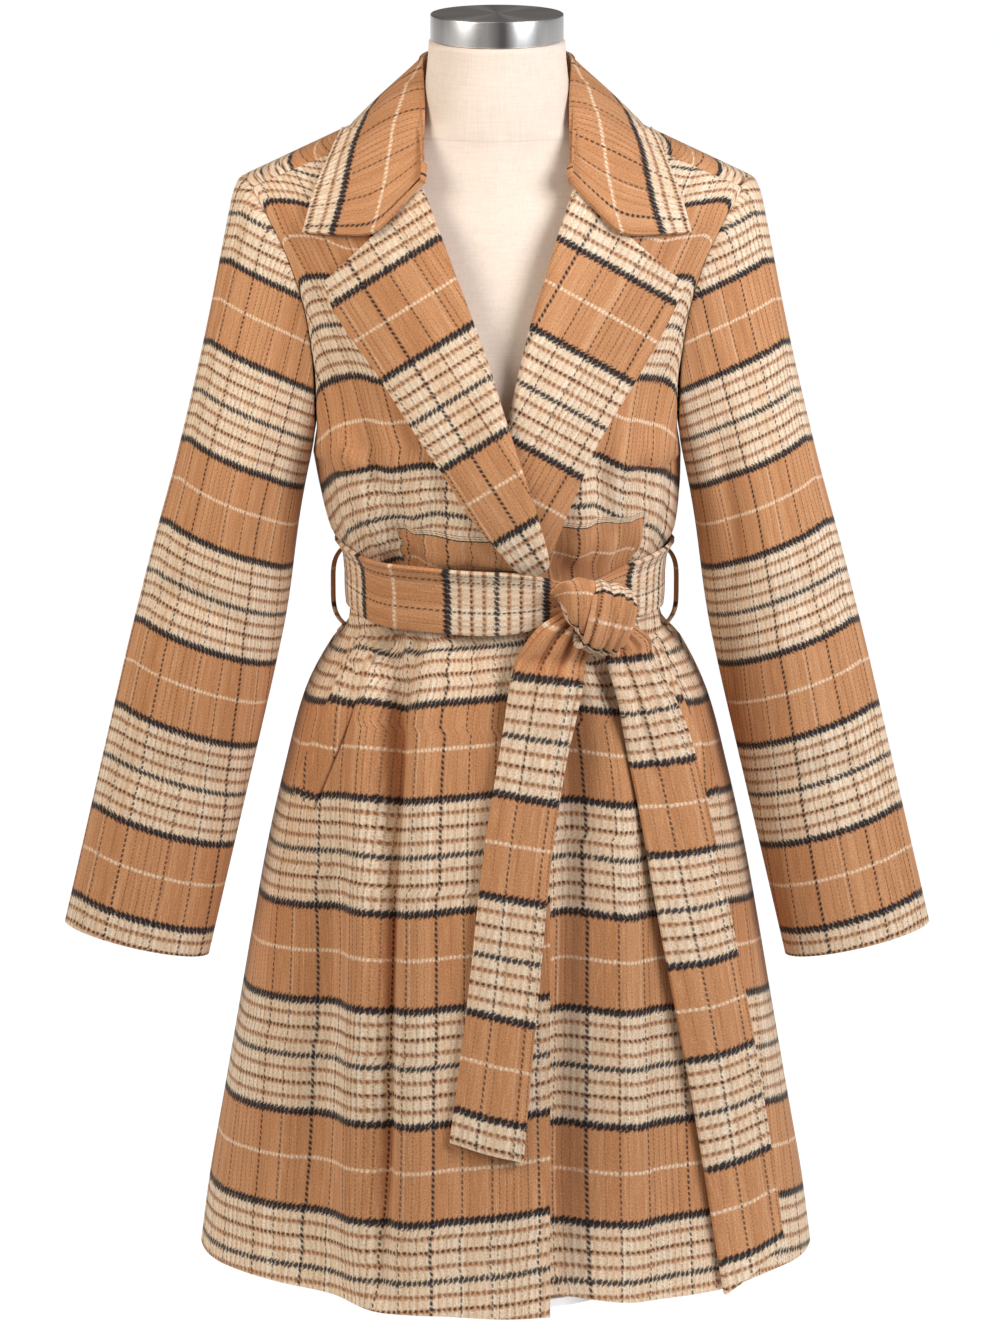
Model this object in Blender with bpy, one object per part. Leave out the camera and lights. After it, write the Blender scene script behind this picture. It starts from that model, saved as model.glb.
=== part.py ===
# Knee-length belted wrap coat on a limbless dress form.
# Metres, +Z up, front towards -Y, the wearer's right side at -X. The floor is z = 0.
import math

import bmesh
import bpy
import numpy as np
from mathutils import Vector

for old in list(bpy.data.objects):
    bpy.data.objects.remove(old, do_unlink=True)

# Cloth and seams
WALL = 0.0026            # wool cloth with its facing
LAPEL_WALL = 0.0036      # doubled cloth
BELT_WALL = 0.0042       # belt, two layers pressed
SEAM = 0.0003            # half of a seam gap
LAY = 0.0011             # room between cloth that lies on cloth
SEWN = 0.0005            # room under what is sewn or tied tight on other cloth

# Heights
HEM_Z = 0.020
UNDERARM_Z = 0.665
BELT_Z = 0.556
BELT_HALF = 0.025
GORGE_Z = 0.879          # where the roll lines meet the collar

# Shoulder and armhole
SHOULDER_X = 0.193       # end of the shoulder, from the middle
SHOULDER_Z = 0.880
SHOULDER_SLOPE = 0.456
SEAM_ARCH = 74.0         # degrees up the front at which the shoulder seam lies
NECK_X = 0.082           # side neck point
NECK_BACK_ARCH = 56.0    # degrees up the back at which the neck edge lies
ARM_FRONT = 0.058        # armhole depth forward of the shoulder point
ARM_BACK = 0.060
ARM_ROUND = 0.30         # share of the armhole height taken by its round bottom
SECTION_POWER = 2.3      # superellipse power of the sections from the underarm up
FRONT_ARCH_POWER = 1.3
BACK_ARCH_POWER = 0.65
EDGE_ARCH_POWER = 0.80

# Wrap of the fronts
UNDER_RISE = 0.012       # the left front's hem, higher under the lap
UNDER_SET = 0.018        # the left front falls back this far there
LIFT_SKIRT = 0.0042      # right front over the left, below the belt
LIFT_CHEST = 0.0112      # right front over the left front and its lapel
ROLL_SET_BACK = 0.0075   # the fronts stop this far short of the roll line
LAP_RAMP = (0.036, 0.030)    # the lap's lift starts this far before the left roll, and grows in this width
LAP_STEP = (0.574, 0.022)    # height and growth of the chest's lift
UNDER_FADE = (0.42, 0.40, 0.110, 0.07)   # height, growth down, x, growth inwards of the fall back

# Level sections of the coat: height, half width, depth to the front, depth to the back, middle,
# superellipse power
SECTIONS = np.array([
    (0.020, 0.2435, 0.1920, 0.1800, 0.007, 1.60),
    (0.075, 0.2360, 0.1860, 0.1730, 0.007, 1.62),
    (0.140, 0.2245, 0.1780, 0.1660, 0.007, 1.68),
    (0.220, 0.2105, 0.1670, 0.1570, 0.007, 1.80),
    (0.290, 0.1985, 0.1570, 0.1500, 0.007, 1.90),
    (0.345, 0.1885, 0.1490, 0.1440, 0.007, 2.00),
    (0.410, 0.1740, 0.1380, 0.1360, 0.007, 2.12),
    (0.470, 0.1580, 0.1270, 0.1240, 0.007, 2.22),
    (0.510, 0.1375, 0.1150, 0.1100, 0.007, 2.28),
    (0.531, 0.1208, 0.1045, 0.0995, 0.006, 2.30),
    (0.556, 0.1190, 0.1035, 0.0985, 0.006, 2.30),
    (0.581, 0.1200, 0.1045, 0.0990, 0.006, 2.30),
    (0.612, 0.1340, 0.1180, 0.1060, 0.004, 2.30),
    (0.640, 0.1400, 0.1245, 0.1110, 0.002, 2.30),
    (0.665, 0.1425, 0.1270, 0.1140, 0.000, 2.30),
])

# Armhole edge: share of the height from underarm to shoulder, half width
ARMHOLE = np.array([
    (0.00, 0.1425), (0.12, 0.1385), (0.28, 0.1395), (0.45, 0.1445),
    (0.65, 0.1570), (0.82, 0.1730), (0.93, 0.1850), (1.00, 0.1930),
])

# Folds of the skirt: bearing (0 at the wearer's right side, 90 front, 270 back), top,
# depth out (+) or in (-) at the hem, half width in degrees
FOLDS = np.array([
    (63.0, 0.525, 0.0170, 8.0),
    (49.0, 0.525, -0.0070, 8.0),
    (22.0, 0.470, 0.0050, 12.0),
    (122.0, 0.500, -0.0060, 10.0),
    (137.0, 0.480, 0.0070, 11.0),
    (160.0, 0.460, 0.0040, 10.0),
    (206.0, 0.500, 0.0060, 12.0),
    (228.0, 0.500, -0.0060, 11.0),
    (248.0, 0.510, 0.0070, 11.0),
    (270.0, 0.510, -0.0060, 12.0),
    (292.0, 0.510, 0.0065, 11.0),
    (314.0, 0.490, -0.0060, 11.0),
    (336.0, 0.490, 0.0060, 12.0),
])
FOLD_GROWTH = 0.30       # length over which a fold grows to its depth

# Roll lines: height, x of the right front's roll, x of the left front's roll
ROLLS = np.array([
    (0.580, 0.0400, -0.0450), (0.601, 0.0390, -0.0260), (0.640, 0.0300, -0.0130),
    (0.679, 0.0176, -0.0010), (0.722, 0.0040, 0.0105), (0.752, -0.0054, 0.0175),
    (0.787, -0.0185, 0.0265), (0.811, -0.0280, 0.0345), (0.845, -0.0415, 0.0455),
    (0.879, -0.0555, 0.0575),
])

# Lapels: roll height, edge x, edge z
LAPEL_RIGHT = np.array([
    (0.879, -0.1290, 0.8075), (0.866, -0.1255, 0.7950), (0.811, -0.0870, 0.7400),
    (0.752, -0.0555, 0.6930), (0.679, -0.0130, 0.6340), (0.604, 0.0250, 0.5900),
])
LAPEL_LEFT = np.array([
    (0.879, 0.1400, 0.8055), (0.866, 0.1345, 0.7910), (0.811, 0.1080, 0.7440),
    (0.752, 0.0740, 0.6900), (0.690, 0.0540, 0.6440), (0.615, 0.0360, 0.5960),
])
# Lift of a lapel over the front: distance from the roll line, height of the outer face
LAPEL_RISE = np.array([
    (0.000, -0.0005), (0.0020, 0.0030), (0.0065, 0.0049), (0.020, 0.0052), (0.200, 0.0060),
])

# Collar, right half: share of the length from the middle back, then x, y, z of the line sewn to
# the neck, the fold line, the middle of the fall and its outer edge
COLLAR = np.array([
    (0.00, 0.000, 0.0790, 0.936, 0.000, 0.0800, 0.974, 0.000, 0.0960, 0.944, 0.000, 0.1060, 0.888),
    (0.22, -0.040, 0.0650, 0.938, -0.038, 0.0690, 0.974, -0.053, 0.0790, 0.947, -0.074, 0.0830, 0.897),
    (0.45, -0.069, 0.0240, 0.943, -0.064, 0.0240, 0.967, -0.082, 0.0275, 0.948, -0.118, 0.0260, 0.919),
    (0.70, -0.071, -0.0260, 0.930, -0.0645, -0.0310, 0.934, -0.097, -0.0300, 0.924, -0.141, -0.0300, 0.890),
    (1.00, -0.0665, -0.0735, 0.8860, -0.0595, -0.0755, 0.8845, -0.0945, -0.0900, 0.8455,
     -0.1490, -0.0540, 0.8430),
])

# Sleeve: share of the length, half width in the front view, half depth, forward set of the axis
SLEEVE_TOP = (-0.1460, 0.002, 0.862)
SLEEVE_END = (-0.2830, -0.030, 0.280)
SLEEVE = np.array([
    (0.00, 0.0570, 0.060, 0.000), (0.25, 0.0530, 0.059, 0.001), (0.36, 0.0535, 0.057, 0.004),
    (0.50, 0.0565, 0.054, 0.006), (0.65, 0.0580, 0.050, 0.006), (0.85, 0.0580, 0.046, 0.002),
    (1.00, 0.0580, 0.044, 0.000),
])

SLEEVE_EASE = 0.35       # share of the length in which the armhole's shape fades out, under the arm
SLEEVE_CREST = 0.040     # the same on the crest
SLEEVE_TURN = 0.03       # share in which the wall turns from the panels' direction to its own

# Belt tails: x, z of the middle, half width, outer face over the left front's face
TAIL_SHORT = np.array([
    (0.0540, 0.5225, 0.014, 0.0340), (0.0400, 0.505, 0.022, 0.0190), (0.0280, 0.460, 0.0245, 0.0130),
    (0.0160, 0.380, 0.0250, 0.0120), (0.0046, 0.268, 0.0255, 0.0120), (-0.0080, 0.150, 0.0275, 0.0120),
])
TAIL_LONG = np.array([
    (0.0960, 0.5133, 0.016, 0.0220), (0.1080, 0.494, 0.021, 0.0150), (0.1220, 0.450, 0.0230, 0.0110),
    (0.1440, 0.335, 0.0240, 0.0105), (0.1650, 0.213, 0.0245, 0.0105), (0.1920, 0.031, 0.0245, 0.0105),
])

# Belt over the lap: x where its lift starts and ends, growth; lift
BELT_LAP = (-0.105, 0.095, 0.035)
BELT_OVER_LAP = 0.0082
BELT_FLARE = 1.6         # the belt's edges follow the coat's flare by this factor
BELT_PINCH = (0.18, 0.03)    # narrowing at the knot, its half width

# Knot
KNOT_X, KNOT_Z = 0.0730, 0.5600
KNOT_HALF = (0.0310, 0.0150, 0.0270)
KNOT_TURN_WALL = 0.0050
KNOT_STAND = 0.0016      # room between the turn and the belt
KNOT_LEAN = -18.0        # degrees, its left end up
KNOT_SQUARE = (0.75, 0.8)    # roundness along and around

# Pocket welts: x, z of the upper and lower end, half width
WELT_TOP = (0.114, 0.508)
WELT_END = (0.156, 0.400)
WELT_HALF = 0.008
WELT_WALL = 0.0026

# Belt loops
LOOP_HALF = 0.0045
LOOP_WALL = 0.0022
LOOP_OUT = 0.0160        # stand of the loop off the coat
LOOP_REACH = 0.036       # half height

# Dress form: height, half width, depth front, depth back, section power
FORM = np.array([
    (0.330, 0.085, 0.062, 0.066, 2.2), (0.333, 0.112, 0.082, 0.088, 2.2),
    (0.345, 0.132, 0.098, 0.105, 2.2), (0.370, 0.142, 0.106, 0.113, 2.2),
    (0.410, 0.144, 0.109, 0.115, 2.2), (0.460, 0.132, 0.102, 0.104, 2.2),
    (0.510, 0.113, 0.092, 0.092, 2.2), (0.556, 0.104, 0.087, 0.086, 2.2),
    (0.600, 0.110, 0.095, 0.091, 2.2), (0.640, 0.121, 0.106, 0.097, 2.2),
    (0.680, 0.127, 0.113, 0.101, 2.2), (0.720, 0.130, 0.111, 0.102, 2.1),
    (0.760, 0.137, 0.100, 0.099, 2.0), (0.800, 0.147, 0.086, 0.091, 1.9),
    (0.830, 0.155, 0.075, 0.082, 1.8), (0.850, 0.158, 0.069, 0.075, 1.7),
])
# The form's shoulders: height, largest half width, depth front, depth back, section power
FORM_SEAT = ((0.866, 0.164, 0.064, 0.069, 1.5), (0.882, 0.164, 0.060, 0.063, 1.4),
             (0.898, 0.1460, 0.057, 0.059, 1.4), (0.912, 0.098, 0.0555, 0.057, 1.5),
             (0.924, 0.063, 0.0550, 0.0560, 1.85))
FORM_NECK = ((0.938, 0.0565, 0.0545, 0.0550, 2.0), (0.955, 0.0545, 0.0535, 0.0535, 2.0),
             (0.970, 0.0530, 0.0525, 0.0525, 2.0), (0.9829, 0.0522, 0.0522, 0.0522, 2.0))
SEAT_GAP = 0.0004        # coat over the form's shoulders
FORM_ROOM = 0.0005       # coat over the form's chest and back beside the shoulders
CAP_RADIUS = 0.0510
CAP_Z = (0.9835, 1.0040)
CAP_EDGE = 0.0015
POLE_RADIUS = 0.0125
BASE_RADIUS = 0.120
BASE_HEIGHT = 0.010

RING = 360.0


def smooth(t):
    """Soft step from 0 to 1."""
    t = min(max(t, 0.0), 1.0)
    return t * t * (3.0 - 2.0 * t)


def signed_power(value, power):
    return math.copysign(abs(value) ** power, value)


def column(table, key, index):
    """Smooth value of one column of a table at a key of its first column."""
    keys = table[:, 0]
    if keys[0] > keys[-1]:
        table, keys = table[::-1], keys[::-1]
    key = min(max(key, keys[0]), keys[-1])
    k = min(int(np.searchsorted(keys, key, side="right")) - 1, len(keys) - 2)
    steps = np.diff(keys)
    rates = np.diff(table[:, index]) / steps

    def slope(i):
        if i == 0 or i == len(keys) - 1:
            return rates[0] if i == 0 else rates[-1]
        a, b = rates[i - 1], rates[i]
        return 0.0 if a * b <= 0.0 else 2.0 * a * b / (a + b)

    t = (key - keys[k]) / steps[k]
    y0, y1 = table[k, index], table[k + 1, index]
    m0, m1 = slope(k) * steps[k], slope(k + 1) * steps[k]
    return (y0 * (1 + 2 * t) * (1 - t) ** 2 + m0 * t * (1 - t) ** 2
            + y1 * t * t * (3 - 2 * t) + m1 * t * t * (t - 1))


def shoulder_top(x):
    """Height of the shoulder's crest."""
    return SHOULDER_Z + SHOULDER_SLOPE * (SHOULDER_X - abs(x))


def fold(bearing, z):
    """Stand of the folds off the plain section."""
    total = 0.0
    for place, top, depth, half in FOLDS:
        turn = (bearing - place + RING / 2) % RING - RING / 2
        if abs(turn) < 3 * half and z < top:
            total += depth * smooth((top - z) / FOLD_GROWTH) * math.exp(-(turn / half) ** 2)
    return total


def body(face, phi, level):
    """Outer face of the coat. face -1 front, 1 back; phi 0 at the right side, 180 at the left.

    Up to the underarm level is the height; above it 1 unit is 90 degrees up the shoulder's arch.
    """
    a = math.radians(phi)
    if level <= UNDERARM_Z:
        half, front, back, mid, power = (column(SECTIONS, level, i) for i in (1, 2, 3, 4, 5))
        depth = front if face < 0 else back
        across = signed_power(math.cos(a), 2.0 / power)
        out = signed_power(math.sin(a), 2.0 / power)
        stand = 1.0 + fold(phi if face < 0 else RING - phi, level) / (0.5 * (half + depth))
        return np.array((mid - half * across * stand, face * depth * out * stand, level))
    arch = (level - UNDERARM_Z) * 90.0
    if arch > 90.0:
        face, arch = -face, 180.0 - arch
    w, c = math.sin(math.radians(arch)), max(math.cos(math.radians(arch)), 0.0)
    mid = column(SECTIONS, UNDERARM_Z, 4) * (1.0 - w)
    x = -column(ARMHOLE, w, 1) * signed_power(math.cos(a), 2.0 / SECTION_POWER)
    z = UNDERARM_Z + (shoulder_top(x) - UNDERARM_Z) * w
    round_in = math.sqrt(max(0.0, 1.0 - max(0.0, 1.0 - w / ARM_ROUND) ** 2))
    edge = (ARM_FRONT if face < 0 else ARM_BACK) * round_in * c ** EDGE_ARCH_POWER
    depth = column(SECTIONS, UNDERARM_Z, 2 if face < 0 else 3)
    middle = depth * c ** (FRONT_ARCH_POWER if face < 0 else BACK_ARCH_POWER)
    power = 2.0 / SECTION_POWER + (2.2 - 2.0 / SECTION_POWER) * smooth(w / 0.35)
    out = signed_power(math.sin(a), power)
    return np.array((mid + x, face * (edge + (middle - edge) * out), z))


def normal(face, phi, level):
    """Outward direction of the coat's face."""
    d_phi, d_level = 0.8, 0.004
    upper = smooth((level - UNDERARM_Z) * 4.0)
    low, high = max(level - d_level, HEM_Z), level + d_level
    if level <= UNDERARM_Z < high:
        high = UNDERARM_Z
    rise = body(face, phi, high) - body(face, phi, low)
    both = body(face, phi + d_phi, level) - body(face, phi - d_phi, level)
    step = 2.0 if phi < 90.0 else -2.0
    one = (body(face, phi + step, level) - body(face, phi, level)) * (1.0 if step > 0 else -1.0)
    run = both * (1.0 - upper) + one * upper
    if level > UNDERARM_Z and (level - UNDERARM_Z) * 90.0 > 89.0 and face > 0:
        run = both if np.linalg.norm(both) > 1e-9 else one
    n = np.cross(run, rise) * -face
    return n / max(np.linalg.norm(n), 1e-12)


def off_body(face, phi, level, lift):
    return body(face, phi, level) + normal(face, phi, level) * lift


def on_face(face, x, z):
    """phi and level of the coat's face at x, z."""
    power = SECTION_POWER
    if z <= UNDERARM_Z:
        half, mid, power = (column(SECTIONS, z, i) for i in (1, 4, 5))
        level = z
    else:
        w = min((z - UNDERARM_Z) / (shoulder_top(x) - UNDERARM_Z), 0.9999)
        half, mid = column(ARMHOLE, w, 1), column(SECTIONS, UNDERARM_Z, 4) * (1.0 - w)
        level = UNDERARM_Z + math.degrees(math.asin(w)) / 90.0
    across = min(max((mid - x) / half, -0.9995), 0.9995)
    return math.degrees(math.acos(signed_power(across, power / 2.0))), level


def on_front(x, z, lift):
    phi, level = on_face(-1, x, z)
    return off_body(-1, phi, level, lift)


def roll_x(z, side):
    return column(ROLLS, z, 1 if side == "right" else 2)


def wrap_lift(x, z):
    """Lift of the right front where it lies over the left one."""
    start = roll_x(z, "left")
    amount = LIFT_SKIRT + (LIFT_CHEST - LIFT_SKIRT) * smooth((z - LAP_STEP[0]) / LAP_STEP[1])
    return amount * smooth((x - start + LAP_RAMP[0]) / LAP_RAMP[1])


def under_set(x, z):
    """Fall back of the left front beside and under the lap, growing to the hem."""
    height, growth, side, inwards = UNDER_FADE
    return -UNDER_SET * smooth((height - z) / growth) * smooth((side - x) / inwards)


def material(name, colour, rough=0.85, metal=0.0):
    m = bpy.data.materials.new(name)
    m.use_nodes = True
    shader = m.node_tree.nodes["Principled BSDF"]
    shader.inputs["Base Color"].default_value = (*colour, 1.0)
    shader.inputs["Roughness"].default_value = rough
    shader.inputs["Metallic"].default_value = metal
    return m


def solid(name, look, points, faces):
    """One closed body from points and faces."""
    bm = bmesh.new()
    verts = [bm.verts.new(Vector(p)) for p in points]
    for f in faces:
        bm.faces.new([verts[i] for i in f])
    bmesh.ops.recalc_face_normals(bm, faces=bm.faces)
    mesh = bpy.data.meshes.new(name)
    bm.to_mesh(mesh)
    bm.free()
    mesh.materials.append(look)
    obj = bpy.data.objects.new(name, mesh)
    bpy.context.scene.collection.objects.link(obj)
    return obj


def shell(name, look, outer, inner, closed=False):
    """Cloth wall between two grids of points, closed round when it is a tube."""
    rows, cols = len(outer), len(outer[0])
    points = [p for grid in (outer, inner) for row in grid for p in row]
    size = rows * cols
    top, last = rows - 1, cols if closed else cols - 1
    faces = []

    def at(layer, r, c):
        return layer * size + r * cols + c % cols

    for r in range(rows - 1):
        for c in range(last):
            quad = [(r, c), (r, c + 1), (r + 1, c + 1), (r + 1, c)]
            faces.append([at(0, *q) for q in quad])
            faces.append([at(1, *q) for q in reversed(quad)])
    for c in range(last):
        faces.append([at(0, 0, c + 1), at(0, 0, c), at(1, 0, c), at(1, 0, c + 1)])
        faces.append([at(0, top, c), at(0, top, c + 1), at(1, top, c + 1), at(1, top, c)])
    if not closed:
        for r in range(rows - 1):
            faces.append([at(0, r, 0), at(0, r + 1, 0), at(1, r + 1, 0), at(1, r, 0)])
            faces.append([at(0, r + 1, last), at(0, r, last), at(1, r, last), at(1, r + 1, last)])
    return solid(name, look, points, faces)


def loft(name, look, rings):
    """Solid through closed rings with flat ends."""
    count = len(rings[0])
    points = [p for ring in rings for p in ring]
    faces = [list(range(count)), [len(points) - count + i for i in range(count)]]
    for r in range(len(rings) - 1):
        for c in range(count):
            d = (c + 1) % count
            faces.append([r * count + c, r * count + d, (r + 1) * count + d, (r + 1) * count + c])
    return solid(name, look, points, faces)


def grid_of(rows, cols, place, wall):
    """Outer and inner grids of a cloth wall, place(row, col, depth under the outer face)."""
    return tuple([[place(r, c, depth) for c in cols] for r in rows] for depth in (0.0, wall))


# Heights of the rows of the coat's panels, hem to underarm
LOWER_ROWS = (0.020, 0.070, 0.130, 0.190, 0.250, 0.310, 0.365, 0.415, 0.460, 0.495, 0.525, 0.545,
              0.567, 0.587, 0.612, 0.640, 0.665)
# Degrees up the shoulder's arch of the rows above the underarm, shared with the sleeves
ARCHES = (1.8, 6.0, 14.0, 23.0, 32.0, 41.0, 50.0, 58.0, 66.0, SEAM_ARCH, 82.0, 90.0)


def front_panel(name, look, side):
    """One front, from the side seam and armhole to its free edge and roll line."""
    rows = list(LOWER_ROWS) + [UNDERARM_Z + a / 90.0 for a in ARCHES if a <= SEAM_ARCH]
    away = 1.0 if side == "right" else -1.0
    gorge_level = on_face(-1, roll_x(GORGE_Z, side), GORGE_Z)[1]

    def inner_phi(level):
        if level <= UNDERARM_Z:
            x = roll_x(level, side) - away * ROLL_SET_BACK * smooth((level - 0.555) / 0.02)
            return on_face(-1, x, level)[0]
        if level <= gorge_level:
            x = roll_x(UNDERARM_Z, side)
            for _ in range(6):
                w = math.sin(math.radians((level - UNDERARM_Z) * 90.0))
                z = UNDERARM_Z + (shoulder_top(x) - UNDERARM_Z) * w
                x = roll_x(z, side) - away * ROLL_SET_BACK
            return on_face(-1, x, z)[0]
        t = (level - gorge_level) / (rows[-1] - gorge_level)
        x = roll_x(GORGE_Z, side) - away * ROLL_SET_BACK
        x += (-away * NECK_X - x) * t
        w = math.sin(math.radians((level - UNDERARM_Z) * 90.0))
        return on_face(-1, x, UNDERARM_Z + (shoulder_top(x) - UNDERARM_Z) * w)[0]

    def place(level, share, depth):
        start = 0.07 if side == "right" else 179.93
        phi = start + (inner_phi(level) - start) * share
        spot = body(-1, phi, level)
        if side == "left" and level == HEM_Z:
            level = HEM_Z + UNDER_RISE * smooth((0.115 - spot[0]) / 0.07)
            spot = body(-1, phi, level)
        lift = wrap_lift(spot[0], spot[2]) if side == "right" else under_set(spot[0], spot[2])
        if level == rows[-1]:
            spot[1] -= SEAM
            return spot + seam_direction(spot[0]) * (lift - depth)
        return spot + normal(-1, phi, level) * (lift - depth)

    cols = [i / 14.0 for i in range(15)]
    shell(name, look, *grid_of(rows, cols, place, WALL))


def seam_direction(x):
    """Direction of the wall at the shoulder seam, shared by front and back."""
    n = np.array((math.copysign(SHOULDER_SLOPE, x), -0.55, 1.0))
    return n / np.linalg.norm(n)


def back_panel(look):
    """The back, from the hem over the shoulders to the shoulder seams and the neck edge."""
    neck_share = NECK_X / SHOULDER_X
    neck_phi = math.degrees(math.acos(neck_share ** (SECTION_POWER / 2.0)))
    side = [0.07 + (neck_phi - 0.07) * i / 6.0 for i in range(7)]
    middle = [neck_phi + (180.0 - 2 * neck_phi) * i / 10.0 for i in range(1, 10)]
    cols = side + middle + [180.0 - p for p in reversed(side)]
    top = 180.0 - SEAM_ARCH
    arches = list(ARCHES) + [180.0 - a for a in reversed(ARCHES) if SEAM_ARCH <= a < 90.0]
    rows = list(LOWER_ROWS) + [UNDERARM_Z + a / 90.0 for a in arches]

    def place(level, phi, depth):
        if level > UNDERARM_Z:
            share = abs(signed_power(math.cos(math.radians(phi)), 2.0 / SECTION_POWER)) / neck_share
            full = top
            if share < 0.9999:
                full = NECK_BACK_ARCH + (top - NECK_BACK_ARCH) * (1.0 - math.sqrt(1.0 - share * share))
            level = UNDERARM_Z + (level - UNDERARM_Z) * full / top
        spot = body(1, phi, level)
        if level >= rows[-1] - 1e-6:
            spot[1] += SEAM
            return spot - seam_direction(spot[0]) * depth
        if level > UNDERARM_Z + 1.0:
            return spot - normal(-1, phi, 2 * UNDERARM_Z + 2.0 - level) * depth
        return spot - normal(1, phi, level) * depth

    shell("back", look, *grid_of(rows, cols, place, WALL))


def armhole_level(turn):
    """Level of the coat's face at a turn round the armhole."""
    w = (1.0 - math.cos(math.pi * min(turn, RING - turn) / 180.0)) / 2.0
    return UNDERARM_Z + math.degrees(math.asin(min(w, 1.0))) / 90.0


def sleeve_point(turn, share):
    """Outer face of the right sleeve; turn 0 under the arm, 90 front, 180 outside."""
    top, end = np.array(SLEEVE_TOP), np.array(SLEEVE_END)
    along = end - top
    length = np.linalg.norm(along)
    along = along / length
    ahead = np.array((0.0, -1.0, 0.0))
    ahead = ahead - along * np.dot(ahead, along)
    ahead = ahead / np.linalg.norm(ahead)
    inward = np.cross(along, ahead)
    inward = inward if inward[0] > 0 else -inward
    face = -1 if turn <= 180.0 else 1
    start = body(face, 0.0, armhole_level(turn)) + np.array((-2.2 * SEAM, 0.0, 0.0))
    rel = start - top
    from_axis = (np.dot(rel, along), np.dot(rel, inward), np.dot(rel, ahead))
    reach = from_axis[0] + (length - from_axis[0]) * share
    t = reach / length
    a = math.radians(turn)
    crest = max(0.0, -math.cos(a)) ** 2
    roll = math.sqrt(max(0.0, 1.0 - max(0.0, 1.0 - share / SLEEVE_CREST) ** 2))
    blend = crest * roll + (1.0 - crest) * smooth(share / SLEEVE_EASE)
    goal = (column(SLEEVE, t, 1) * math.cos(a), column(SLEEVE, t, 2) * math.sin(a))
    p = from_axis[1] + (goal[0] - from_axis[1]) * blend
    q = from_axis[2] + (goal[1] - from_axis[2]) * blend
    return top + along * reach + inward * p + ahead * (q + column(SLEEVE, t, 3) * blend)


def sleeve(name, look, mirror):
    rows = (0.0, 0.012, 0.03, 0.065, 0.12, 0.19, 0.27, 0.36, 0.46, 0.57, 0.68, 0.79, 0.90, 1.0)
    half_ring = [math.degrees(math.acos(1.0 - 2.0 * math.sin(math.radians(a)))) for a in ARCHES]
    cols = [0.0] + half_ring + [RING - t for t in reversed(half_ring[:-1])]

    def place(share, turn, depth):
        spot = sleeve_point(turn, share)
        if depth > 0.0:
            d_turn, d_share = 4.0, 0.012
            low, high = max(share - d_share, 0.0), min(share + d_share, 1.0)
            before, after = (turn - d_turn) % RING, (turn + d_turn) % RING
            own = np.cross(sleeve_point(after, share) - sleeve_point(before, share),
                           sleeve_point(turn, high) - sleeve_point(turn, low)) * sleeve_sign
            own = own / np.linalg.norm(own)
            sewn = normal(-1 if turn <= 180.0 else 1, 0.0, armhole_level(turn))
            n = own + (sewn - own) * smooth(4.0 * np.dot(sewn, own)) * (1.0 - smooth(share / SLEEVE_TURN))
            spot = spot - n / np.linalg.norm(n) * depth
        return np.array((-spot[0], spot[1], spot[2])) if mirror else spot

    middle = np.mean([sleeve_point(t, 0.6) for t in cols], axis=0)
    probe = sleeve_point(180.0, 0.6)
    round_step = sleeve_point(184.0, 0.6) - sleeve_point(176.0, 0.6)
    along_step = sleeve_point(180.0, 0.612) - sleeve_point(180.0, 0.588)
    sleeve_sign = 1.0 if np.dot(np.cross(round_step, along_step), probe - middle) > 0 else -1.0
    shell(name, look, *grid_of(rows, cols, place, WALL), closed=True)


def lapel(name, look, side, table):
    """Turned-back part of a front, lying on it from the roll line to the outer edge."""
    rows = [i / 13.0 for i in range(14)]
    cols = (0.0, 0.035, 0.10, 0.30, 0.55, 0.80, 1.0)
    heights = table[:, 0]
    stations = np.concatenate(([0.0], np.cumsum(np.abs(np.diff(heights)))))
    keyed = np.column_stack((stations / stations[-1], table))

    def place(share, u, depth):
        roll_z = column(keyed, share, 1)
        start = np.array((roll_x(roll_z, side), roll_z))
        end = np.array((column(keyed, share, 2), column(keyed, share, 3)))
        spot = start + (end - start) * u
        width = np.linalg.norm(end - start)
        rise = column(LAPEL_RISE, u * width, 1)
        lift = rise - depth + (wrap_lift(spot[0], spot[1]) if side == "right" else 0.0)
        return on_front(spot[0], spot[1], lift)

    shell(name, look, *grid_of(rows, cols, place, LAPEL_WALL))


def clear_of_body(p, room):
    """The point, moved out of the coat's face where it lies closer than room."""
    x, y, z = p
    if z >= shoulder_top(x) - 0.001:
        floor_z = shoulder_top(x) + room * 1.1
        return np.array((x, y, max(z, floor_z) if abs(x) > NECK_X and abs(y) < 0.012 else z))
    phi, level = on_face(-1 if y < 0.0 else 1, x, z)
    face = -1 if y < 0.0 else 1
    spot, n = body(face, phi, level), normal(face, phi, level)
    stand = np.dot(p - spot, n)
    return p + n * (room - stand) if stand < room else p


def collar_point(s, v):
    """Outer face of the collar's right half; s 0 middle back, 1 end; v 0 neck line, 0.3 fold, 1 edge."""
    neck, fold_line, mid, edge = (np.array([column(COLLAR, s, k + i) for i in range(3)])
                                  for k in (1, 4, 7, 10))
    if v <= 0.3:
        return neck + (fold_line - neck) * v / 0.3
    u = (v - 0.3) / 0.7
    curved = fold_line * (1 - u) * (1 - 2 * u) + mid * 4 * u * (1 - u) + edge * u * (2 * u - 1)
    bent = fold_line + (mid - fold_line) * 2 * u if u < 0.5 else mid + (edge - mid) * (2 * u - 1)
    return curved + (bent - curved) * smooth((s - 0.72) / 0.28)


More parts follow.
